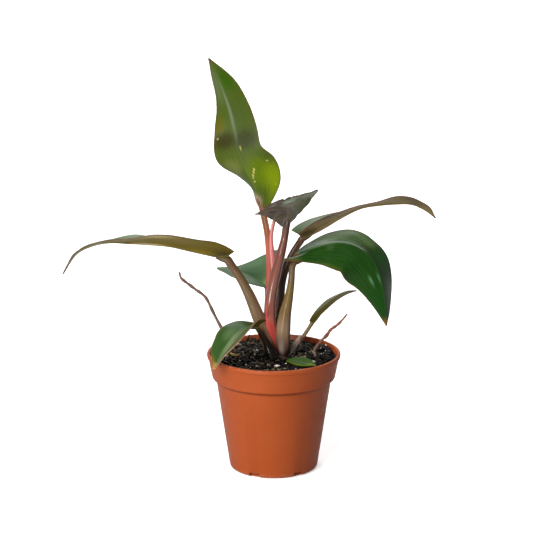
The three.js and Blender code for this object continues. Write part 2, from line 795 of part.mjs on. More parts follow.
addPiece('pot', makePot(), COLOURS.pot, 0.45);
addPiece('soil', makeSoil([...crownCutters, ...rootCutters, stemShape(GAP)]), COLOURS.soil, 0.95);
addPiece('stem', cutBy(stemShape(0), crownCutters), COLOURS.stem, 0.7);
for (const [key, solid] of Object.entries(stalks)) {
  addPiece(`stalk_${key}`, solid, STALKS[key].colour, 0.35);
}
for (const [key, leaf] of Object.entries(LEAVES)) {
  addPiece(`blade_${key}`, cutBy(blade(leaf), stalkCutters), leaf.colour, 0.35);
}
addPiece('new_leaf', cutBy(grown(NEW_LEAF, 0), stalkCutters), COLOURS.newLeaf, 0.3);
addPiece('bud_scale', cutBy(grown(BUD_SCALE, 0), stalkCutters), COLOURS.budScale, 0.8);
for (const [side, root] of Object.entries(AERIAL_ROOTS)) {
  addPiece(`aerial_root_${side}`, grown(root, 0), COLOURS.root, 0.6);
}

export default group;
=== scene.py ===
import math
import random

import bpy
import numpy as np
from mathutils import Matrix, Vector, noise


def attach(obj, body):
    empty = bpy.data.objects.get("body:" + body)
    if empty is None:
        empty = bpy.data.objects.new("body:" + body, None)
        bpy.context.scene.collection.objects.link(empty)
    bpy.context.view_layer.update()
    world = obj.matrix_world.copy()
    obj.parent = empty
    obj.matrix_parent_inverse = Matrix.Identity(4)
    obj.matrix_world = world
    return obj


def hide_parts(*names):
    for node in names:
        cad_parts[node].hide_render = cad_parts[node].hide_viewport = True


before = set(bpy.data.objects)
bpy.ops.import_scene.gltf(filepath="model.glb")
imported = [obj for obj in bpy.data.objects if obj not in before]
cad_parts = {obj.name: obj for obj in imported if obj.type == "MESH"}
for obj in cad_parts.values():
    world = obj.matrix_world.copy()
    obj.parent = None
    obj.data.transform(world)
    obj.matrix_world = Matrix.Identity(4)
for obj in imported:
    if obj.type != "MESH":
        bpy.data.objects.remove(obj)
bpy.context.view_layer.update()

# The pot: one thin moulded shell of terracotta-coloured plastic, a deep rim band over a ledge, a rolled lip,
# a raised floor between its rest disc and its foot ring. It comes out of the mould with even walls, six
# drain holes in the floor and a notch in the foot beside each of them.

MM = 0.001
POT_HEIGHT = 96
RIM_RADIUS = 54
LIP_FOOT_Z = 92
BAND_FOOT_Z = 77
LEDGE_Z = 73.8
BODY_TOP_RADIUS = 46.5
BAND_FOOT_RADIUS = 49.7
BAND_CURVE = 2.6
FOOT_RADIUS = 35.9
FOOT_CORNER = 3
FOOT_RING_WIDTH = 5
POT_WALL = 1.4
REST_DISC_RADIUS = 15
FLOOR_RAISE = 2
POT_SIDES = 160
POT_EDGE = 0.35
DRAIN_COUNT = 6
DRAIN_RADIUS = 3.2
DRAIN_CIRCLE = 22
DRAIN_SIDES = 32
DRAIN_DEPTH = 12
NOTCH_SIZE = (6.5, 9, 7.2)
NOTCH_START = -116


def start_clean():
    """Leaves edit mode and deselects everything, the frame's nodes included."""
    if bpy.context.mode != "OBJECT":
        bpy.ops.object.mode_set(mode="OBJECT")
    bpy.ops.object.select_all(action="DESELECT")


def named(name):
    """Names the object that an operator has just added."""
    piece = bpy.context.object
    piece.name = name
    piece.data.name = name
    return piece


def put(name, data):
    """Adds an object that holds a mesh, a light or a lens."""
    added = bpy.data.objects.new(name, data)
    bpy.context.scene.collection.objects.link(added)
    return added


def choose(piece):
    """Makes a piece the only one selected, and the active one."""
    start_clean()
    piece.select_set(True)
    bpy.context.view_layer.objects.active = piece
    return piece


def apply_modifier(piece, kind, **settings):
    """Adds a modifier with its settings and applies it at once."""
    choose(piece)
    modifier = piece.modifiers.new(kind.lower(), kind)
    for name, value in settings.items():
        setattr(modifier, name, value)
    bpy.ops.object.modifier_apply(modifier=modifier.name)


def linear(colour):
    """A colour written as hex in screen values, as the linear values that a shader takes."""
    parts = [int(colour[i:i + 2], 16) / 255 for i in (1, 3, 5)]
    return [c / 12.92 if c <= 0.04045 else ((c + 0.055) / 1.055) ** 2.4 for c in parts] + [1]


def wire(tree, kind, inputs=(), **settings):
    """Adds a shader node, sets what it is given, and links the sockets among its inputs."""
    node = tree.nodes.new("ShaderNode" + kind)
    for name, value in settings.items():
        setattr(node, name, value)
    for name, value in dict(inputs).items():
        if isinstance(value, bpy.types.NodeSocket):
            tree.links.new(value, node.inputs[name])
        else:
            node.inputs[name].default_value = value
    return node


def maths(tree, operation, *values):
    """One Math node, and its output socket."""
    return wire(tree, "Math", dict(enumerate(values)), operation=operation).outputs[0]


def times(tree, first, second):
    """The product of two values."""
    return maths(tree, "MULTIPLY", first, second)


def ramp(tree, value, low, high, to_low=0.0, to_high=1.0):
    """A smooth step of a value between two limits."""
    node = wire(tree, "MapRange", {0: value, 1: low, 2: high, 3: to_low, 4: to_high},
                interpolation_type="SMOOTHSTEP")
    return node.outputs[0]


def mixed(tree, factor, first, second, blend="MIX"):
    """Two colours mixed by a mask."""
    node = wire(tree, "Mix", {0: factor, 6: first, 7: second}, data_type="RGBA", blend_type=blend)
    return node.outputs[2]


def laid_over(tree, colour, shade, mask, amount=1.0):
    """A colour with a shade laid over it, by an amount of a mask."""
    return mixed(tree, times(tree, mask, amount), colour, linear(shade))


def specks(tree, place, scale, detail):
    """Fine noise at one scale."""
    return wire(tree, "TexNoise", {"Vector": place, "Scale": scale, "Detail": detail}).outputs["Fac"]


def object_place(tree):
    """Where a spot lies in the object's own frame."""
    return wire(tree, "TexCoord").outputs["Object"]


def chart_place(tree):
    """Where a spot lies on a rolled-up grid: X is its turn and Y its run along it."""
    return wire(tree, "SeparateXYZ", {0: wire(tree, "UVMap").outputs[0]}).outputs


def new_group(name, inputs):
    """An empty node group with named float or vector inputs."""
    group = bpy.data.node_groups.new(name, "ShaderNodeTree")
    for socket, kind in inputs.items():
        group.interface.new_socket(socket, in_out="INPUT", socket_type="NodeSocket" + kind)
    return group, group.nodes.new("NodeGroupInput").outputs


def close_group(group, results):
    """Gives a node group its float outputs."""
    end = group.nodes.new("NodeGroupOutput")
    for name, socket in results.items():
        group.interface.new_socket(name, in_out="OUTPUT", socket_type="NodeSocketFloat")
        group.links.new(socket, end.inputs[name])
    return group


def use_group(tree, group, inputs):
    """Places a node group in a material, links what it is given, and returns its outputs."""
    return wire(tree, "Group", inputs, node_tree=group).outputs


def new_material(name, roughness, constants=()):
    """A material with one Principled shader, and the constant values of its sockets."""
    material = bpy.data.materials.new(name)
    material.use_nodes = True
    shader = material.node_tree.nodes["Principled BSDF"]
    shader.inputs["Roughness"].default_value = roughness
    for socket, value in dict(constants).items():
        shader.inputs[socket].default_value = value
    return material, material.node_tree


def clad(material, colour, height, strength, depth, rough=None):
    """Gives a material its colour, its bump to a depth in millimetres, and a roughness that varies."""
    tree = material.node_tree
    bump = wire(tree, "Bump", {"Strength": strength, "Distance": depth * MM, "Height": height}).outputs[0]
    inputs = tree.nodes["Principled BSDF"].inputs
    for socket, value in (("Base Color", colour), ("Normal", bump), ("Roughness", rough)):
        if value is not None:
            tree.links.new(value, inputs[socket])
    return material


def mottling_group():
    """Cloudy patches at one scale: a mask that is 0 in the hollows and 1 on the crests."""
    group, given = new_group("mottling", {"Place": "Vector", "Scale": "Float", "Sharpness": "Float"})
    clouds = wire(group, "TexNoise", {"Vector": given["Place"], "Scale": given["Scale"], "Detail": 4.0,
                                      "Roughness": 0.55}).outputs["Fac"]
    steep = maths(group, "MULTIPLY_ADD", maths(group, "SUBTRACT", clouds, 0.5), given["Sharpness"], 0.5)
    return close_group(group, {"Mask": wire(group, "Clamp", {0: steep}).outputs[0]})


MOTTLING = mottling_group()


def mottled(tree, place, scale, sharpness):
    """The mask of the mottling at a scale."""
    return use_group(tree, MOTTLING, {"Place": place, "Scale": scale, "Sharpness": sharpness})["Mask"]


def pot_plastic():
    """Terracotta-coloured plastic, a little uneven in its pigment, scuffed and dusty on its edges, with
    painted shade in a band under the rim band's ledge.
    """
    material, tree = new_material("terracotta_plastic", 0.42, {"Specular IOR Level": 0.16})
    place = object_place(tree)
    height = wire(tree, "SeparateXYZ", {0: place}).outputs["Z"]
    fine, scuff = mottled(tree, place, 160.0, 2.5), mottled(tree, place, 420.0, 6.0)
    colour = mixed(tree, mottled(tree, place, 24.0, 1.6), linear("#924018"), linear("#9a471f"))
    colour = laid_over(tree, colour, "#914525", fine, 0.25)
    lip, foot = ramp(tree, height, 94.6 * MM, 96.2 * MM), ramp(tree, height, 5 * MM, 0.0)
    colour = laid_over(tree, colour, "#d08a68", times(tree, maths(tree, "MAXIMUM", lip, foot), scuff), 0.35)
    # Painted shade: a darker band on the body just under the rim band, where the ledge throws its shadow.
    painted_ledge_shade = times(tree, ramp(tree, height, 72.4 * MM, 74 * MM), ramp(tree, height, 76 * MM, 75 * MM))
    colour = laid_over(tree, colour, "#54220c", painted_ledge_shade, 0.55)
    rough = ramp(tree, fine, 0.0, 1.0, 0.38, 0.5)
    return clad(material, colour, specks(tree, place, 900.0, 2.0), 0.12, 0.2, rough)


def pot_outline():
    """Radius and height round the shell, from the rest disc out, up the outside and down the inside."""
    ring_inside = FOOT_RADIUS - FOOT_RING_WIDTH
    corner, curve = FOOT_CORNER, BAND_CURVE
    foot = [(FOOT_RADIUS - corner + corner * math.sin(a), corner - corner * math.cos(a))
            for a in np.radians([0, 22, 45, 68, 86])]
    band = [(BAND_FOOT_RADIUS + 0.2 - curve + curve * math.cos(a), BAND_FOOT_Z + 0.4 + curve * math.sin(a))
            for a in np.radians([-62, -40, -20, 0])]
    outside = [
        (REST_DISC_RADIUS, 0), (REST_DISC_RADIUS + 1, FLOOR_RAISE), (ring_inside - 1, FLOOR_RAISE),
        (ring_inside, 0), *foot, (BODY_TOP_RADIUS, LEDGE_Z), *band, (RIM_RADIUS - 1.2, LIP_FOOT_Z),
        (RIM_RADIUS - 0.3, LIP_FOOT_Z + 0.7), (RIM_RADIUS, POT_HEIGHT - 1.6),
        (RIM_RADIUS - 0.3, POT_HEIGHT - 0.5), (RIM_RADIUS - 1, POT_HEIGHT),
    ]
    inside = [
        (RIM_RADIUS - 2.1, POT_HEIGHT), (RIM_RADIUS - 2.8, POT_HEIGHT - 0.8),
        (BAND_FOOT_RADIUS - POT_WALL, BAND_FOOT_Z + 1), (BODY_TOP_RADIUS - POT_WALL, LEDGE_Z + 0.6),
        (FOOT_RADIUS - POT_WALL, corner + POT_WALL), (FOOT_RADIUS - corner, POT_WALL),
        (ring_inside + 0.8, POT_WALL), (ring_inside - 0.2, FLOOR_RAISE + POT_WALL),
        (REST_DISC_RADIUS + 0.2, FLOOR_RAISE + POT_WALL), (REST_DISC_RADIUS - 0.8, POT_WALL),
    ]
    return outside + inside


def face_outwards():
    """Turns every face of the mesh in edit mode outwards, and leaves edit mode."""
    bpy.ops.mesh.select_all(action="SELECT")
    bpy.ops.mesh.normals_make_consistent(inside=False)
    bpy.ops.object.mode_set(mode="OBJECT")


def grow_rings(name, sides, outline):
    """A disc extruded ring by ring through radii and heights given in millimetres."""
    start_clean()
    radius, height = outline[0]
    bpy.ops.mesh.primitive_circle_add(
        vertices=sides, radius=radius * MM, fill_type="NGON", location=(0, 0, height * MM))
    piece = named(name)
    bpy.ops.object.transform_apply(location=True)
    bpy.ops.object.mode_set(mode="EDIT")
    bpy.ops.mesh.select_all(action="SELECT")
    for next_radius, next_height in outline[1:]:
        bpy.ops.mesh.extrude_region_move(
            TRANSFORM_OT_translate={"value": (0, 0, (next_height - height) * MM)})
        stretch = next_radius / radius
        bpy.ops.transform.resize(value=(stretch, stretch, 1), center_override=(0, 0, 0))
        radius, height = next_radius, next_height
    face_outwards()
    return piece


def make_pot():
    """The shell grown from its rest disc, then cut for drainage and eased along its edges."""
    pot = grow_rings("pot_shell", POT_SIDES, pot_outline())
    cutters = []
    for i in range(DRAIN_COUNT):
        turn = math.radians(NOTCH_START + 360 / DRAIN_COUNT * i)
        out = Vector((math.cos(turn), math.sin(turn), 0))
        start_clean()
        bpy.ops.mesh.primitive_cylinder_add(
            vertices=DRAIN_SIDES, radius=DRAIN_RADIUS * MM, depth=DRAIN_DEPTH * MM,
            location=out * DRAIN_CIRCLE * MM + Vector((0, 0, FLOOR_RAISE * MM)))
        cutters.append(bpy.context.object)
        bpy.ops.mesh.primitive_cube_add(size=1, location=out * FOOT_RADIUS * MM, rotation=(0, 0, turn))
        cutters.append(bpy.context.object)
        bpy.ops.transform.resize(value=[side * MM for side in NOTCH_SIZE], orient_type="LOCAL")
    start_clean()
    for cutter in cutters:
        cutter.select_set(True)
    bpy.context.view_layer.objects.active = cutters[0]
    bpy.ops.object.join()
    bpy.ops.object.transform_apply(location=True, rotation=True, scale=True)
    cutter = named("pot_cutter")
    apply_modifier(pot, "BOOLEAN", operation="DIFFERENCE", object=cutter, solver="EXACT")
    bpy.data.objects.remove(cutter)
    apply_modifier(pot, "BEVEL", width=POT_EDGE * MM, segments=2, limit_method="ANGLE",
                   angle_limit=math.radians(40), use_clamp_overlap=True)
    choose(pot)
    bpy.ops.object.shade_smooth_by_angle(angle=math.radians(32))
    return pot


pot = make_pot()
pot.data.materials.append(pot_plastic())
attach(pot, "root")
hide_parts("pot")

# The potting mix: bark, peat, perlite and fibre, poured in and pressed down to just under the rim. The bed
# is one body up to its rough top; the coarse lumps, pale grains and loose fibres lie on it, half sunk.

SOIL_WALL_Z = 92.2
SOIL_MOUND = 1.4
SOIL_HEAPS = 3
SOIL_HEAP_HEIGHT = 1.3
SOIL_HEAPS_START = 114
SOIL_RADIUS = 50
BED_CLEARANCE = 0.35
BED_SIDES = 180
BED_RINGS = 52
DENT_SEED = 5
LUMP_COUNT = 1600
GRAIN_COUNT = 230
BACK_HEAP = (41, 17, 3.2, 7.5)
PLACED_GRAINS = [
    (23.3, 3.4, 0.9), (31.3, -20.2, 1.3), (2.5, -33.9, 1.7), (-38.5, -0.8, 0.7), (-38.2, -20.2, 0.6),
    (-27, -20.2, 0.7), (-22.2, -28.5, 0.6), (-11.8, -35.3, 0.6), (9.7, -25.7, 0.8), (42.5, 17, 0.8),
    (44.8, 6.3, 0.6), (42, 7.7, 0.5), (38.5, -2.2, 0.5)]
LOW_LEAF_FOOT = (10.6, -17.3)
LOW_LEAF_WAY = (0.9, -0.43)
LOW_LEAF_SIDE = (0.43, 0.9)
LOW_LEAF_LENGTH = 27
LOW_LEAF_HALF_WIDTH = 7


def soil_height(x, y):
    """Height of the bed's top, in millimetres: heaped against the wall, mounded to the middle, with lumps."""
    from_axis = min(math.hypot(x, y) / RIM_RADIUS, 1)
    turn = SOIL_HEAPS * math.atan2(y, x) + math.radians(SOIL_HEAPS_START)
    heaps = SOIL_HEAP_HEIGHT * from_axis ** 2 * math.sin(turn)
    mound = SOIL_MOUND * math.cos(from_axis * math.pi / 2)
    heap_x, heap_y, heap_rise, heap_spread = BACK_HEAP
    mound += heap_rise * math.exp(-((x - heap_x) ** 2 + (y - heap_y) ** 2) / heap_spread ** 2)
    lumps = 0.8 * math.sin(0.42 * x + 1.3) * math.cos(0.37 * y - 0.6)
    lumps += 0.55 * math.sin(0.83 * x - 0.55 * y) + 0.4 * math.cos(1.1 * y + 0.47 * x + 2)
    return SOIL_WALL_Z + heaps + mound + lumps


def bed_of_mix():
    """The filling grown up inside the shell, and across its top, which is then pushed up and down."""
    wall = POT_WALL + BED_CLEARANCE
    outline = [(FOOT_RADIUS - wall - 1, 5), (FOOT_RADIUS - wall, 6), (BODY_TOP_RADIUS - wall, LEDGE_Z + 0.9),
               (BAND_FOOT_RADIUS - wall, BAND_FOOT_Z + 1.3)]
    outline += [(SOIL_RADIUS * i / BED_RINGS, SOIL_WALL_Z) for i in range(BED_RINGS, 0, -1)]
    bed = grow_rings("potting_mix", BED_SIDES, outline)
    top = (SOIL_WALL_Z - 0.01) * MM
    for vertex in bed.data.vertices:
        x, y = vertex.co.x / MM, vertex.co.y / MM
        if vertex.co.z > top and math.hypot(x, y) < SOIL_RADIUS - 0.3:
            crumbs = noise.turbulence(Vector((x, y, 0)) * 0.33, 3, False) - 0.5
            vertex.co.z = (soil_height(x, y) - 0.5 + 1.6 * crumbs) * MM
    choose(bed)
    bpy.ops.object.shade_smooth()
    return bed


def lump_moulds(draw, count, subdivisions, roughness):
    """A few rough lumps, each an icosphere dented at random, as arrays of points and faces.

    The vector noise has a seed of its own, which Blender otherwise takes from the clock.
    """
    noise.seed_set(DENT_SEED)
    moulds = []
    for i in range(count):
        start_clean()
        bpy.ops.mesh.primitive_ico_sphere_add(subdivisions=subdivisions, radius=1)
        mesh = bpy.context.object.data
        shift = Vector([draw.uniform(-9, 9) for _ in range(3)])
        for vertex in mesh.vertices:
            vertex.co *= 1 + roughness * noise.noise(vertex.co * 1.7 + shift)
            vertex.co += 0.25 * roughness * noise.noise_vector(vertex.co * 4 + shift)
        points = np.array([vertex.co for vertex in mesh.vertices])
        faces = np.array([list(face.vertices) for face in mesh.polygons])
        moulds.append((points, faces))
        bpy.data.objects.remove(bpy.context.object)
    return moulds


def strew(name, draw, moulds, placings):
    """Copies of the lumps, each with its own size, turn, place and tint, fused into one mesh."""
    points, faces, tints = [], [], []
    start = 0
    for size, turn, place, tint in placings:
        mould_points, mould_faces = draw.choice(moulds)
        turned = (mould_points * size) @ np.array(turn.to_3x3()).T + place
        points.append(turned)
        faces.append(mould_faces + start)
        tints += [tint] * len(turned)
        start += len(turned)
    mesh = bpy.data.meshes.new(name)
    mesh.from_pydata(np.concatenate(points).tolist(), [], np.concatenate(faces).tolist())
    mesh.attributes.new("tint", "FLOAT", "POINT").data.foreach_set("value", tints)
    piece = choose(put(name, mesh))
    bpy.ops.object.shade_smooth_by_angle(angle=math.radians(35))
    return piece


def any_turn(draw, tilt=math.pi):
    """A random turn, lying flat within a tilt."""
    spin = Matrix.Rotation(draw.uniform(0, math.tau), 4, "Z")
    lean = Matrix.Rotation(draw.uniform(-tilt, tilt), 4, "X")
    return spin @ lean @ Matrix.Rotation(draw.uniform(-tilt, tilt), 4, "Y")


def spot_on_mix(draw, margin):
    """A random spot on the bed, even over its area, clear of the wall by a margin."""
    radius = (SOIL_RADIUS - margin) * math.sqrt(draw.random())
    angle = draw.uniform(0, math.tau)
    return radius * math.cos(angle), radius * math.sin(angle)


def under_low_leaf(x, y):
    """Whether a spot lies under the tiny leaf I, whose blade rests on the mix there."""
    from_foot = Vector((x - LOW_LEAF_FOOT[0], y - LOW_LEAF_FOOT[1]))
    along, aside = from_foot.dot(Vector(LOW_LEAF_WAY)), from_foot.dot(Vector(LOW_LEAF_SIDE))
    return -2 < along < LOW_LEAF_LENGTH and abs(aside) < LOW_LEAF_HALF_WIDTH


def mix_lumps():
    """Peat crumbs, bark chips and shreds, from dust of a millimetre to chips of seven."""
    draw = random.Random(11)
    placings = []
    for i in range(LUMP_COUNT):
        size = 0.5 + 1.5 * draw.random() ** 2.4
        shape = np.array([size * draw.uniform(0.9, 2.1), size, size * draw.uniform(0.45, 0.85)])
        x, y = spot_on_mix(draw, 1.2 + shape[0])
        z = soil_height(x, y) - 0.2 + draw.uniform(-0.1, 0.7)
        if not under_low_leaf(x, y):
            placings.append((shape * MM, any_turn(draw, 0.6), np.array([x, y, z]) * MM, draw.random()))
    return strew("bark_and_peat_lumps", draw, lump_moulds(draw, 9, 2, 0.55), placings)


def pale_grains():
    """Perlite and pale mineral grains, mostly a millimetre across, a few of three."""
    draw = random.Random(29)
    placings = []
    for i in range(GRAIN_COUNT):
        size = 0.3 + 0.75 * draw.random() ** 2.6
        x, y = spot_on_mix(draw, 2.5)
        z = soil_height(x, y) + draw.uniform(0.3, 1.1)
        shape = np.array([size * draw.uniform(1, 1.9), size, size * draw.uniform(0.6, 1)])
        if not under_low_leaf(x, y):
            placings.append((shape * MM, any_turn(draw), np.array([x, y, z]) * MM, draw.random()))
    for x, y, size in PLACED_GRAINS:
        shape = np.array([size * 1.3, size * 0.8, size * 0.7])
        at = np.array([x, y, soil_height(x, y) + 1.1])
        placings.append((shape * MM, any_turn(draw, 0.5), at * MM, draw.uniform(0.9, 1)))
    return strew("perlite_grains", draw, lump_moulds(draw, 6, 2, 0.4), placings)


def mix_material(name, dark, mid, light, gloss, pale_from):
    """Damp organic crumb, whose shade goes by the lump and by fine speckle on each."""
    material, tree = new_material(name, gloss, {"Specular IOR Level": 0.12})
    place = object_place(tree)
    tint = wire(tree, "Attribute", attribute_name="tint").outputs["Fac"]
    speckle = mottled(tree, place, 700.0, 3.0)
    colour = mixed(tree, ramp(tree, tint, 0.35, 0.95), linear(dark), linear(mid))
    colour = laid_over(tree, colour, light, ramp(tree, tint, pale_from, pale_from + 0.12))
    colour = laid_over(tree, colour, dark, speckle, 0.35)
    rough = ramp(tree, speckle, 0.0, 1.0, gloss - 0.1, gloss + 0.15)
    return clad(material, colour, specks(tree, place, 1100.0, 5.0), 0.6, 0.4, rough)


bed = bed_of_mix()
bed.data.materials.append(mix_material("dark_peat", "#070605", "#0c0908", "#14100c", 0.85, 0.5))
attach(bed, "root")
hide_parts("soil")

lumps = mix_lumps()
lumps.data.materials.append(mix_material("damp_bark", "#080706", "#1c1612", "#66543a", 0.55, 0.86))
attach(lumps, "root")

grains = pale_grains()
grains.data.materials.append(mix_material("perlite", "#4e4836", "#8f8468", "#f2ece0", 0.6, 0.85))
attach(grains, "root")

# The leaf blades: nine, each one sheet of flesh a millimetre thick grown from its midrib, which is sunk
# above and swells into a keel below. Lateral veins swell the surface faintly, the margin is a thin reddish
# line, and the shape of each follows the same midrib, widths, lifts and curls as its solid.

BLADE_THICKNESS = 1.0
MARGIN_THICKNESS = 0.75
LEAST_HALF_WIDTH = 0.25
RIB_HALF_WIDTH = 1.5
LOBE_REACH = 0.42
BASE_ROUNDING = 0.2
BASE_ROUNDED = 0.06
KEEL_TAPER = 1.2
HALVES_WAVE_APART = 0.25
VEIN_SPACING = 5.2
VEIN_SLANT = 0.55
VEIN_BEND = 0.009
SLOPE_STEP = 0.01
ZONE_SOFTNESS = 0.8
ZONE_FINENESS = 90
FLECK_FINENESS = 900
FLECK_LENGTH = 0.03
NONE_ALONG = [0, 0]
BLADE_COLUMNS = 64
BLADE_ROWS = 120
COLUMN_CROWDING = 1.35
SMALL_LEAF = 60
NOTCH_COUNT = 34
GROOVE_DEPTH = 0.3
GROOVE_HALF_WIDTH = 1.3
VEIN_RELIEF = 0.022
DENT_DEPTH = 0.35
DENT_SPACING = 11
FOLD_SPACING = (3.5, 12)

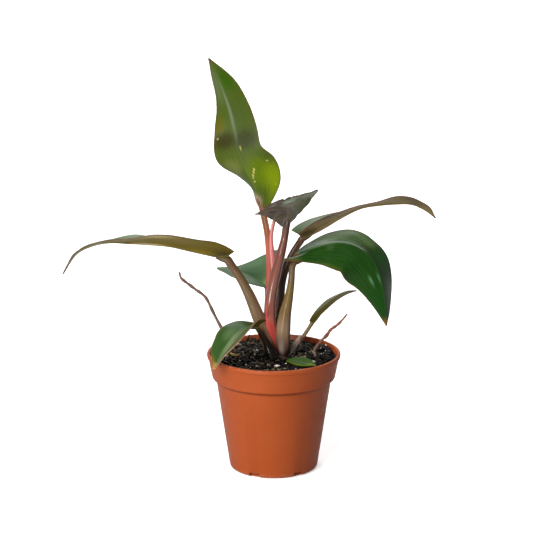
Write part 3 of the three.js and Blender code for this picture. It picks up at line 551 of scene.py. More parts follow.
LEAVES = {
  "A": dict(
    rib=[(-9.1, 20.5, 211.4), (-15.1, 23, 224.8), (-22.3, 27, 238.7), (-28.3, 31, 253.5),
        (-32.4, 36, 271.3), (-37.2, 42, 288.9), (-44.4, 49, 307.2), (-52.4, 57, 326)],
    face=[(0.15, -0.95, 0.2), (0, -1, 0.2), (0, -1, 0.2), (0.1, -1, 0.2)],
    right=dict(width=[3, 22.5, 26, 19.5, 19, 17, 12.6, 0.5], lift=[0, 0, 4, 8, 4, 0, 0, 0],
        curl=[0, -10, -10, 0, 0, -10, -10, 0], lobe=5.5),
    left=dict(width=[3, 11, 17.2, 21, 17.2, 13.2, 8.5, 0.4], lift=[-50, -68, -50, -20, -15, -30, -48, -40],
        curl=[0, -30, -30, -10, -10, -20, -20, 0], lobe=3),
    wave=(0.9, 2.5, 0.1), keel=2.4, slot="leaf_bronze_green",
    skin=dict(upper=("#414f12", "#4b5a1e"), under=("#6d6a3c", "#5a5a35"), rib="#6f7a46", edge="#6b4a33",
        tip="#5a4327", gloss=0.38, ribbed=0.05, veins=0.03, shine=0.1),
    under_zones=[(0, 0.02, 1.4, 0.12, "#a08872", 1, 0.6), (0, 0.2, 1.4, 0.1, "#7c8a44", 0.8, 0.9)],
    # Two zones are painted sheen: the grey-green on the upper left half at reach -0.4, run 0.86, and the soft
    # grey along the midrib at reach 0.05, run 0.68.
    zones=[(0.8, 0.85, 1.2, 0.22, "#3f5208", 0.7), (0.45, 0.86, 0.5, 0.1, "#305400", 0.9),
        (-0.4, 0.86, 0.6, 0.16, "#56643c", 0.85), (0.3, 0.66, 0.7, 0.13, "#3c4f10", 0.7),
        (-0.75, 0.61, 0.5, 0.09, "#5c5408", 0.8), (-0.5, 0.52, 0.8, 0.08, "#302b06", 0.9),
        (0.45, 0.5, 0.9, 0.1, "#2a2c0c", 0.8), (0.05, 0.68, 0.12, 0.26, "#6f7a64", 0.6, 0.9),
        (-0.6, 0.35, 0.7, 0.09, "#6a7034", 0.85), (0.4, 0.25, 0.55, 0.17, "#566a02", 0.95, 0.7),
        (0.8, 0.17, 0.55, 0.16, "#788a0c", 0.95, 0.85), (-0.5, 0.05, 0.8, 0.1, "#8f7f6a", 1, 0.5),
        (-0.81, 0.54, 0.06, 0.009, "#b9b05a", 0.8, 0.7), (0.13, 0.455, 0.05, 0.024, "#a09a50", 0.8, 0.7),
        (0.75, 0.3, 0.05, 0.008, "#c9c070", 0.7), (0.26, 0.279, 0.035, 0.016, "#c4b964", 0.9, 0.6),
        (0.21, 0.262, 0.03, 0.016, "#c4b964", 0.9, 0.6), (0.15, 0.243, 0.03, 0.016, "#c4b964", 0.9, 0.6),
        (0.12, 0.226, 0.025, 0.01, "#c4b964", 0.8, 0.6), (0.11, 0.198, 0.04, 0.009, "#c4b964", 0.8, 0.7),
        (0.81, 0.13, 0.04, 0.007, "#c4b964", 0.5)]),
  "B": dict(
    rib=[(9.6, -8.5, 203), (11.4, -14, 213), (10, -24, 221), (4, -35.5, 224), (-5.5, -46, 225.5),
        (-15.1, -54, 223.3)],
    face=[(0, 0.82, 0.57), (-0.05, 0.65, 0.75), (-0.1, 0.4, 0.9), (-0.3, -0.1, 0.95), (-0.4, -0.5, 0.8)],
    right=dict(width=[4, 13.5, 15, 13.5, 10.5, 6, 0.4], lift=[0, -10, -22, -30, -40, -55, -60], lobe=2),
    left=dict(width=[5, 22, 28.5, 23, 15.5, 8.5, 0.4], lift=[56, 42, 30, 18, 26, 40, 30], lobe=2),
    wave=(0.5, 2, 0.3), keel=2.2, slot="leaf_purple_brown", torn=0.6, crumpled=0.9,
    skin=dict(upper=("#4a4a3a", "#5b6450"), under=("#63554a", "#55473d"), rib="#6f6548", edge="#4b2d28",
        tip="#8f887c", gloss=0.3, ribbed=0.5, veins=0.08, shine=0.24, under_shine=2.5),
    under_zones=[(-0.62, 0.28, 0.6, 0.32, "#5f6040", 1, 0.4), (-0.95, 0.42, 0.25, 0.24, "#8d947a", 0.9),
        (-0.62, 0.6, 0.4, 0.09, "#93a58c", 0.95, 0.6), (-0.25, 0.46, 0.3, 0.13, "#84795a", 0.8),
        (0.72, 0.42, 0.34, 0.15, "#b5aa9a", 0.85, 0.9), (0.5, 0.16, 0.5, 0.1, "#6b6250", 0.8),
        (0.2, 0.62, 0.4, 0.14, "#4a3a36", 0.7), (-0.45, 0.78, 0.28, 0.07, "#958b7c", 0.85, 0.9),
        (0.5, 0.8, 0.5, 0.08, "#80674e", 0.7)]),
  "C": dict(
    rib=[(22, 22, 187), (37.3, 23, 194), (53.4, 24, 203.4), (69.5, 26, 210.6), (84.2, 29, 212.2),
        (98.9, 32, 212.4), (111.2, 36, 211), (122, 39, 206), (132.1, 42, 197.6)],
    face=[(-0.3, -0.1, 1), (-0.3, 0, 1), (0, 0, 1), (0.4, 0, 1)],
    right=dict(width=[5, 18, 23.5, 24, 22, 19, 15, 9, 0.4], lift=[38, 34, 21, 16, 20, 26, 26, 26, 20],
        lobe=2, flare=2),
    left=dict(width=[11, 20, 24, 24, 22, 19, 15, 9, 0.4], lift=[18, 8, -5, -11, -13, -12, -11, -10, 0],
        lobe=6.5, flare=3),
    wave=(0.9, 3, 0.2), keel=2.2, slot="leaf_olive_underside",
    skin=dict(upper=("#3a4c2c", "#485c38"), under=("#8a7748", "#7c693a"), rib="#a2906c", edge="#6a4630",
        tip="#6b3328", gloss=0.4, ribbed=0.35, veins=0.05, shine=0.2),
    under_zones=[(0.9, 0.72, 0.8, 0.18, "#5c4410", 0.9), (-0.9, 0.5, 0.6, 0.12, "#a08f68", 0.8, 0.9),
        (-0.9, 0.16, 0.5, 0.14, "#3c4416", 0.8), (0.9, 0.22, 0.4, 0.15, "#4c3c0c", 0.8),
        (0, 0.78, 1.2, 0.09, "#5e4a10", 0.7), (0, 0.2, 0.3, 0.2, "#9a8862", 0.7),
        (0.3, 0.03, 1, 0.1, "#3c2f14", 0.9)]),
  "D": dict(
    rib=[(17.2, -13, 180.1), (29.4, -16, 186.2), (41.9, -20, 191.3), (54.4, -25, 193.3), (66, -30, 190.9),
        (76.1, -35, 183.3), (83.5, -39, 169.8), (87.1, -42, 151.1), (88.5, -44, 130.4)],
    face=[(-0.2, -0.45, 0.87), (-0.05, -0.5, 0.86), (0.34, -0.53, 0.77), (0.52, -0.75, 0.4),
        (0.6, -0.8, 0.05)],
    right=dict(width=[5, 13, 20.5, 25, 26.5, 27.5, 23.5, 12.5, 0.4],
        lift=[-12, -16, -16, -16, -17, -21, -27, -28, -30], curl=[-8, -8, -8, -8, -8, -8, -8, -8, 0],
        lobe=15, flare=9),
    left=dict(width=[5, 17, 23, 28, 29, 28, 23, 13, 0.4],
        lift=[-14, -15, -15, -15, -16, -20, -26, -24, -20], curl=[-8, -8, -8, -8, -8, -8, -8, -8, 0],
        lobe=4),
    wave=(0.4, 2.5, 0.6), keel=2.4, slot="leaf_deep_green",
    skin=dict(upper=("#10300a", "#1c4208"), under=("#5a6a3c", "#4b5a34"), rib="#35562a", edge="#5a3a1c",
        tip="#7a5226", gloss=0.27, ribbed=0.15, veins=0.03, shine=0.22),
    # The first zone is painted sheen, the pale grey-green of the far half.
    zones=[(-0.8, 0.3, 0.5, 0.26, "#83957c", 0.95), (-0.42, 0.28, 0.35, 0.2, "#5c7050", 0.8),
        (-0.7, 0.5, 0.5, 0.12, "#5c7a48", 0.8), (-0.3, 0.42, 0.4, 0.12, "#3c5a30", 0.7),
        (-0.6, 0.66, 0.6, 0.12, "#0c4a00", 0.9), (0, 0.21, 0.1, 0.17, "#53643f", 0.75),
        (0.18, 0.28, 0.22, 0.05, "#35492a", 0.8, 0.9), (0.95, 0.33, 0.16, 0.26, "#33490f", 0.8),
        (0.95, 0.05, 0.5, 0.06, "#4c4b25", 0.8, 0.7), (0.25, 0.9, 1, 0.14, "#0c3a04", 0.7),
        # The two pale green zones on this line are painted highlights, short streaks on the near half.
        (0.36, 0.76, 0.08, 0.06, "#5c8a62", 0.6, 1), (0.07, 0.755, 0.06, 0.045, "#5c8a62", 0.5, 1)]),
  "E": dict(
    rib=[(-36.5, -7, 177.8), (-51.6, -8, 181), (-66.6, -9, 184.6), (-82.5, -9, 188), (-98.4, -8, 188.9),
        (-115.2, -6, 189.2), (-131.3, -3, 188.8), (-146, 1, 184.6), (-159, 5, 176.3), (-170, 8, 159.4)],
    face=[(0.25, -0.1, 1), (0.15, 0, 1), (0, 0, 1), (-0.5, 0, 1), (-0.8, 0, 0.7)],
    right=dict(width=[8, 19, 22, 21, 19, 17, 12.5, 7, 3.5, 0.4], lift=[8, 7, 3, 0, 0, 3, -4, -4, 0, 0],
        lobe=4),
    left=dict(width=[12, 19, 22, 21, 19, 17, 13, 8.5, 4.5, 0.4],
        lift=[48, 45, 37, 32, 31, 26, 18, 16, 24, 10], lobe=4),
    wave=(0.9, 3, 0.4), keel=2.2, slot="leaf_olive_underside",
    skin=dict(upper=("#4c5f35", "#5c6e44"), under=("#6c5d14", "#605212"), rib="#7d6e3c", edge="#5a4428",
        tip="#5a4a35", gloss=0.36, ribbed=0.3, veins=0.05, shine=0.15),
    under_zones=[(0, 0.01, 1.3, 0.14, "#3e3818", 0.95), (-0.95, 0.4, 0.4, 0.13, "#aa9c70", 0.85, 0.9),
        (0.95, 0.42, 0.35, 0.12, "#a39460", 0.8, 0.9), (0, 0.27, 0.35, 0.1, "#52481a", 0.7, 0.9),
        (0, 0.46, 0.16, 0.13, "#b3a580", 0.9), (0, 0.57, 1.2, 0.05, "#58481a", 0.6),
        (0, 0.76, 1.3, 0.1, "#80805a", 0.85), (0, 0.93, 1.3, 0.12, "#8f8f80", 0.85)]),
  "F": dict(
    rib=[(-5.4, 18, 147), (-13.6, 24, 150.5), (-21.3, 31, 152.2), (-29.5, 39, 152.9), (-38.3, 47, 152.9),
        (-46.9, 56, 151.9)],
    face=[(0, -0.35, 0.94), (0, -0.3, 0.94)],
    right=dict(width=[19, 31, 23.5, 12, 6, 0.4], lift=[32, 30, 22, 12, 0, 0], lobe=8),
    left=dict(width=[5, 16, 15, 11, 6.5, 0.4], lift=[20, 20, 18, 14, 10, 0], lobe=3),
    wave=(0.6, 2, 0), keel=1.8, slot="leaf_grey_green",
    skin=dict(upper=("#466440", "#3a5834"), under=("#5a6a4c", "#4d5c40"), rib="#6c8a50", edge="#4c583c",
        tip="#6a6a3c", gloss=0.5, ribbed=0.3, veins=0.03, shine=0.22),
    zones=[(0.1, 0.02, 0.6, 0.12, "#7f8f3c", 0.7), (-0.6, 0.35, 0.5, 0.3, "#3f6038", 0.7),
        (0.6, 0.45, 0.4, 0.25, "#4e6c48", 0.6, 0.9)]),
  "G": dict(
    rib=[(-13.4, -16, 123.2), (-19.8, -23, 124), (-26.8, -30, 119.8), (-33.9, -36, 112.5),
        (-41.4, -40, 103.8), (-48.1, -43, 94.4)],
    face=[(-0.2, -0.3, 1), (-0.4, -0.3, 0.9), (-0.6, -0.4, 0.7)],
    right=dict(width=[6, 15.5, 20, 20, 15.5, 0.4], lift=[8, 10, 13, 12, 12, 0],
        curl=[0, -10, -10, -10, -10, 0], lobe=3),
    left=dict(width=[8, 14, 16, 14, 9, 0.4], lift=[45, 35, 28, 27, 27, 20], lobe=6),
    wave=(0.5, 1.5, 0.2), keel=1.6, slot="leaf_small_green",
    skin=dict(upper=("#253f18", "#33501f"), under=("#4e4410", "#454012"), rib="#808e68", edge="#86694c",
        tip="#b8863a", gloss=0.42, ribbed=0.4, veins=0.02, shine=0.16),
    zones=[(0.45, 0.46, 0.35, 0.18, "#4c643c", 0.8, 0.9), (0.12, 0.55, 0.16, 0.35, "#6a7654", 0.85),
        (-0.55, 0.6, 0.6, 0.4, "#5c5c3c", 0.85, 0.7), (0.2, 0.03, 1.3, 0.13, "#4c4a10", 0.95, 0.7),
        (0.8, 0.92, 0.6, 0.12, "#5f5c12", 0.8), (0, 0.95, 1.2, 0.07, "#a87a34", 0.8)]),
  "H": dict(
    rib=[(30.5, 16, 117.4), (36.4, 18, 122.8), (44.1, 20, 129.4), (51.5, 23, 134.6), (59.4, 26, 138.2),
        (67.3, 29, 140)],
    face=[(-0.6, 0, 0.8), (-0.5, 0, 0.9), (-0.2, 0, 1)],
    right=dict(width=[3, 7.5, 8.5, 7, 4.6, 0.4], lift=[36, 36, 34, 28, 26, 20], lobe=3),
    left=dict(width=[3, 7.5, 8.5, 7, 4.6, 0.4], lift=[18, 14, 14, 14, 10, 5], lobe=3),
    wave=(0.3, 1.5, 0), keel=1.2, slot="leaf_small_green",
    skin=dict(upper=("#5a6144", "#666a50"), under=("#5c5210", "#665a18"), rib="#7a7040", edge="#5a5226",
        tip="#8a8674", gloss=0.38, ribbed=0.3, veins=0.03, shine=0.2),
    under_zones=[(0, 0.03, 1.3, 0.16, "#454a04", 0.9), (0, 0.82, 1.3, 0.28, "#79705a", 0.8)],
    zones=[(0, 0.03, 1.3, 0.24, "#34400f", 0.9), (0, 0.85, 1.3, 0.3, "#77705c", 0.8, 0.9)]),
  "I": dict(
    rib=[(10.6, -17.3, 94.8), (16.2, -19.8, 95), (22, -22.8, 94.9), (28, -25.8, 94.5), (33.5, -28.3, 93.5)],
    face=[(-0.1, -0.2, 1), (0, -0.3, 1), (0.2, -0.3, 1)],
    right=dict(width=[1.2, 4.5, 5.4, 4.4, 0.4], lift=[0, 0]),
    left=dict(width=[1.2, 4.5, 5.4, 4.4, 0.4], lift=[3, 3, 3, 3, 0]),
    wave=(0.2, 1, 0), keel=0.8, slot="leaf_yellow_green",
    skin=dict(upper=("#233f0e", "#2f4c12"), under=("#5a7a3a", "#4c6a30"), rib="#5c7430", edge="#5c6c14",
        tip="#6c7a2a", gloss=0.55, ribbed=0.15, veins=0.1, shine=0.1),
    zones=[(0.5, 0.88, 1.3, 0.24, "#5c7018", 0.85), (0.95, 0.4, 0.35, 0.5, "#52620f", 0.8)]),
}


def spline(values, t):
    """Smooth interpolation through evenly spaced values or points, at every t from 0 to 1."""
    values = np.asarray(values, float)
    last = len(values) - 1
    place = np.clip(t, 0, 1) * last
    i = np.minimum(np.floor(place).astype(int), last - 1)
    padded = np.concatenate([2 * values[:1] - values[1:2], values, 2 * values[-1:] - values[-2:-1]])
    p0, p1, p2, p3 = (padded[i + step] for step in range(4))
    u = place - i
    if values.ndim > 1:
        u = u[..., None]
    slope1, slope2 = (p2 - p0) / 2, (p3 - p1) / 2
    bend = 3 * (p2 - p1) - 2 * slope1 - slope2
    twist = 2 * (p1 - p2) + slope1 + slope2
    return p1 + u * (slope1 + u * (bend + u * twist))


def unit(vectors):
    """Vectors at length one."""
    return vectors / np.linalg.norm(vectors, axis=-1, keepdims=True)


def cross_over(vectors, along):
    """Vectors with their part along another direction taken out, at length one."""
    return unit(vectors - along * np.sum(vectors * along, axis=-1, keepdims=True))


def direction(points, t):
    """Which way a line through points runs at t."""
    ahead = spline(points, np.minimum(t + SLOPE_STEP, 1))
    return unit(ahead - spline(points, np.maximum(t - SLOPE_STEP, 0)))


def half_values(leaf, key, t, signed):
    """A blade's value at t, of its right or left half by the sign, 0 where the half doesn't give it."""
    right, left = (spline(leaf[half].get(key, NONE_ALONG), t) for half in ("right", "left"))
    return np.where(signed > 0, right, left)


def half_width(leaf, t, signed):
    """How far a half reaches from the midrib, in millimetres."""
    return np.maximum(half_values(leaf, "width", t, signed), LEAST_HALF_WIDTH)


def smooth(value, low, high):
    """A smooth step from 0 to 1 between two limits."""
    s = np.clip((value - low) / (high - low), 0, 1)
    return s * s * (3 - 2 * s)


def blade_points(leaf, signed, t):
    """Points of a blade's upper skin. signed is -1 at the left margin, 0 on the midrib and 1 at the right."""
    reach = np.abs(signed)
    side = np.where(signed > 0, 1.0, -1.0)
    at = spline(leaf["rib"], t)
    tangent = direction(leaf["rib"], t)
    face = cross_over(spline(leaf["face"], t), tangent)
    across = np.cross(tangent, face) * side[:, None]
    width = half_width(leaf, t, signed) * (1 - BASE_ROUNDING * np.maximum(1 - t / BASE_ROUNDED, 0) ** 2)
    lift = np.radians(half_values(leaf, "lift", t, signed))
    curl = np.radians(half_values(leaf, "curl", t, signed)) * reach
    out = width * reach * np.sinc(curl / 2 / np.pi)
    angle = lift + curl / 2
    lobe = np.maximum(reach - RIB_HALF_WIDTH / width, 0) * np.maximum(1 - t / LOBE_REACH, 0) ** 3
    height, count, phase = leaf["wave"]
    ripple = np.sin(2 * np.pi * (count * t + phase + HALVES_WAVE_APART * side))
    wave = height * reach ** 2 * ripple * np.sin(np.pi * t)
    back, flare = (
        lobe * np.where(signed > 0, leaf["right"].get(key, 0), leaf["left"].get(key, 0))
        for key in ("lobe", "flare"))
    points = at + across * (out * np.cos(angle))[:, None] - tangent * back[:, None]
    points += face * (out * np.sin(angle) + wave + flare)[:, None]
    return points, face * np.cos(angle)[:, None] - across * np.sin(angle)[:, None]


def rib_length(leaf):
    """Length of a blade's midrib, in millimetres."""
    line = spline(leaf["rib"], np.linspace(0, 1, 200))
    return np.linalg.norm(np.diff(line, axis=0), axis=1).sum()


def vein_swell(across, along):
    """Low relief of the lateral veins, which leave the midrib at a slant and bend towards the tip."""
    run = along - VEIN_SLANT * np.abs(across) - VEIN_BEND * across ** 2
    return np.cos(2 * np.pi * run / VEIN_SPACING) * smooth(np.abs(across), 1.5, 5)


def shape_grid(name, columns, rows, surface):
    """A grid primitive whose points go where a function of its two runs, each 0 to 1, puts them, in mm."""
    start_clean()
    bpy.ops.mesh.primitive_grid_add(x_subdivisions=columns, y_subdivisions=rows, size=2)
    piece = named(name)
    flat = np.zeros(len(piece.data.vertices) * 3)
    piece.data.vertices.foreach_get("co", flat)
    runs = (flat.reshape(-1, 3)[:, :2] + 1) / 2
    placed = surface(runs[:, 0], runs[:, 1]) * MM
    piece.data.vertices.foreach_set("co", placed.ravel())
    piece.data.update()
    return piece, runs


def make_blade(key, leaf):
    """A grid laid along the midrib, given relief, then its own thickness with a keel under the midrib."""
    length = rib_length(leaf)
    coarser = 1 if length > SMALL_LEAF else 2
    columns, rows = BLADE_COLUMNS // coarser, BLADE_ROWS // coarser

    def reach_of(run):
        signed = 2 * run - 1
        return np.sign(signed) * np.abs(signed) ** COLUMN_CROWDING

    def surface(run, t):
        signed = reach_of(run)
        across, along = signed * half_width(leaf, t, signed), t * length
        pull = leaf.get("torn", 0) * smooth(t, 0.5, 0.66) * smooth(t, 0.95, 0.85) * smooth(-signed, 0.5, 1)
        notches = np.array([max(noise.noise(Vector((run * NOTCH_COUNT, 0, length))), 0) for run in t])
        points, normal = blade_points(leaf, signed * (1 - pull * notches), t)
        _, mirrored = blade_points(leaf, -signed, t)
        own = (1 + smooth(np.abs(across), 0, 2 * RIB_HALF_WIDTH)[:, None]) / 2
        normal = unit(normal * own + mirrored * (1 - own))
        groove = -GROOVE_DEPTH * (1 - 0.5 * t) * np.exp(-(across / GROOVE_HALF_WIDTH) ** 2)
        swell = VEIN_RELIEF * vein_swell(across, along) * (1 - smooth(np.abs(signed), 0.8, 1))
        dents, folds = (
            np.array([noise.noise(Vector((x / wide, y / long, length))) for x, y in zip(across, along)])
            for wide, long in ((DENT_SPACING, DENT_SPACING), FOLD_SPACING))
        relief = groove + swell * smooth(1 - t, 0, 0.15) + DENT_DEPTH * dents * np.abs(signed)
        relief = relief + leaf.get("crumpled", 0) * folds * smooth(np.abs(across), 1, 4)
        return points + normal * relief[:, None]

    blade, runs = shape_grid(f"leaf_{key}", columns, rows, surface)
    signed, t = reach_of(runs[:, 0]), runs[:, 1]
    across = signed * half_width(leaf, t, signed)
    lay = np.stack([across * MM, t * length * MM, signed], axis=1)
    blade.data.attributes.new("lay", "FLOAT_VECTOR", "POINT").data.foreach_set("vector", lay.ravel())
    keel = leaf["keel"] * (1 - t) ** KEEL_TAPER * np.exp(-(across / (0.7 + 1.7 * (1 - t))) ** 2)
    flesh = BLADE_THICKNESS + (MARGIN_THICKNESS - BLADE_THICKNESS) * np.abs(signed) + keel
    deepest = float(flesh.max())
    group = blade.vertex_groups.new(name="flesh")
    for i, depth in enumerate(flesh):
        group.add([i], float(depth) / deepest, "REPLACE")
    for material in leaf_materials(key, leaf):
        blade.data.materials.append(material)
    apply_modifier(blade, "SOLIDIFY", thickness=deepest * MM, offset=-1, vertex_group="flesh",
                   material_offset=1, material_offset_rim=2, use_quality_normals=True)
    choose(blade)
    bpy.ops.object.shade_smooth_by_angle(angle=math.radians(45))
    return blade


def blade_marks_group():
    """Where a spot lies on its blade: masks of the midrib, veins, margin and tip, and a relief."""
    group, given = new_group("blade_marks", {"Lay": "Vector", "Map": "Vector"})
    lay = wire(group, "SeparateXYZ", {0: given["Lay"]}).outputs
    run = wire(group, "SeparateXYZ", {0: given["Map"]}).outputs["Y"]
    away = maths(group, "ABSOLUTE", lay["X"])
    bend = times(group, times(group, away, away), VEIN_BEND / MM)
    slant = maths(group, "MULTIPLY_ADD", away, VEIN_SLANT, bend)
    phase = maths(group, "DIVIDE", maths(group, "SUBTRACT", lay["Y"], slant), VEIN_SPACING * MM)
    saws = []
    for count in (1.0, 6.0):
        tooth = maths(group, "FRACT", times(group, phase, count))
        saws.append(maths(group, "ABSOLUTE", maths(group, "SUBTRACT", tooth, 0.5)))
    rib = ramp(group, away, 1.5 * MM, 0.4 * MM)
    vein = times(group, ramp(group, saws[0], 0.4, 0.5), maths(group, "SUBTRACT", 1.0, rib))
    ragged = maths(group, "MULTIPLY_ADD", specks(group, given["Lay"], 260.0, 3.0), 0.05, run)
    return close_group(group, {
        "Rib": rib, "Vein": vein, "Tip": ramp(group, ragged, 0.975, 1.02),
        "Edge": ramp(group, maths(group, "ABSOLUTE", lay["Z"]), 0.945, 0.985),
        "Height": maths(group, "MULTIPLY_ADD", vein, -0.6, times(group, saws[1], 0.15))})


def zone_group():
    """A soft-edged oval on a blade: its middle and half sizes in reach and run, and how soft its rim is."""
    group, given = new_group("leaf_zone", {
        "Lay": "Vector", "Map": "Vector", "Middle": "Vector", "Size": "Vector",
        "Softness": "Float", "Fineness": "Float"})
    reach = wire(group, "SeparateXYZ", {0: given["Lay"]}).outputs["Z"]
    run = wire(group, "SeparateXYZ", {0: given["Map"]}).outputs["Y"]
    wander = wire(group, "TexNoise", {
        "Vector": given["Lay"], "Scale": given["Fineness"], "Detail": 3.0}).outputs["Color"]
    shift = wire(group, "VectorMath", {0: wander, 1: (0.5, 0.5, 0.5)}, operation="SUBTRACT").outputs[0]
    spot = wire(group, "CombineXYZ", {0: reach, 1: run}).outputs[0]
    for operation, value in (("SUBTRACT", given["Middle"]), ("DIVIDE", given["Size"]), ("ADD", shift),
                             ("MULTIPLY", (1, 1, 0))):
        spot = wire(group, "VectorMath", {0: spot, 1: value}, operation=operation).outputs[0]
    far = wire(group, "VectorMath", {0: spot}, operation="LENGTH").outputs["Value"]
    inner = maths(group, "SUBTRACT", 1.0, given["Softness"])
    return close_group(group, {"Mask": ramp(group, far, 1.0, inner)})


BLADE_MARKS = blade_marks_group()
LEAF_ZONE = zone_group()


def leaf_skin(name, shades, leaf, zones, bump, shine=1.0):
    """Waxy leaf skin in two clouded shades, with its ribs, margin, tip and any zones of other colour, a few
    of them painted sheen and highlights.
    """
    look = leaf["skin"]
    material, tree = new_material(name, look["gloss"], {"Specular IOR Level": look["shine"] * shine})
    lay = wire(tree, "Attribute", attribute_name="lay").outputs["Vector"]
    where = {"Lay": lay, "Map": wire(tree, "UVMap").outputs[0]}
    marks = use_group(tree, BLADE_MARKS, where)
    clouds = mottled(tree, lay, 45.0, 2.2)
    colour = mixed(tree, clouds, linear(shades[0]), linear(shades[1]))
    for reach, run, wide, long, shade, amount, *softness in zones:
        mask = use_group(tree, LEAF_ZONE, {
            **where, "Middle": (reach, run, 0), "Size": (wide, long, 1),
            "Softness": softness[0] if softness else ZONE_SOFTNESS,
            "Fineness": ZONE_FINENESS if long > FLECK_LENGTH else FLECK_FINENESS})["Mask"]
        colour = laid_over(tree, colour, shade, mask, amount)
    for mark, shade, amount in (("Vein", "rib", look["veins"]), ("Rib", "rib", look["ribbed"]),
                                ("Edge", "edge", 0.8), ("Tip", "tip", 1.0)):
        colour = laid_over(tree, colour, look[shade], marks[mark], amount)
    height = maths(tree, "MULTIPLY_ADD", specks(tree, lay, 900.0, 2.0), 0.25, marks["Height"])
    rough = ramp(tree, clouds, 0.0, 1.0, look["gloss"] - 0.04, look["gloss"] + 0.08)
    return clad(material, colour, height, bump, 0.25, rough)


def leaf_materials(key, leaf):
    """The upper skin, the under skin and the cut edge of one blade."""
    look = leaf["skin"]
    upper = leaf_skin(f"leaf_{key}_upper", look["upper"], leaf, leaf.get("zones", ()), 0.08)
    under = leaf_skin(f"leaf_{key}_under", look["under"], leaf, leaf.get("under_zones", ()), 0.18,
                      look.get("under_shine", 0.6))
    edge = leaf_skin(f"leaf_{key}_margin", (look["edge"], look["edge"]), leaf, [], 0.2)
    return upper, under, edge


for key, leaf in LEAVES.items():
    blade = make_blade(key, leaf)
    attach(blade, "root")
    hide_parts(f"blade_{key}")

# The leaf stalks: fleshy petioles, round and glossy, which thicken downwards into a sheath that clasps the
# crown. Each runs on into the midrib of its blade, and each carries a colour of its own and fine streaks.

STALK_SIDES = 28
STALK_STEPS = 90
STALK_POINTS = 24
STALK_INTO_BLADE = 0.95
STALK_RUN_ON = 9
COLLAR_START = 0.9

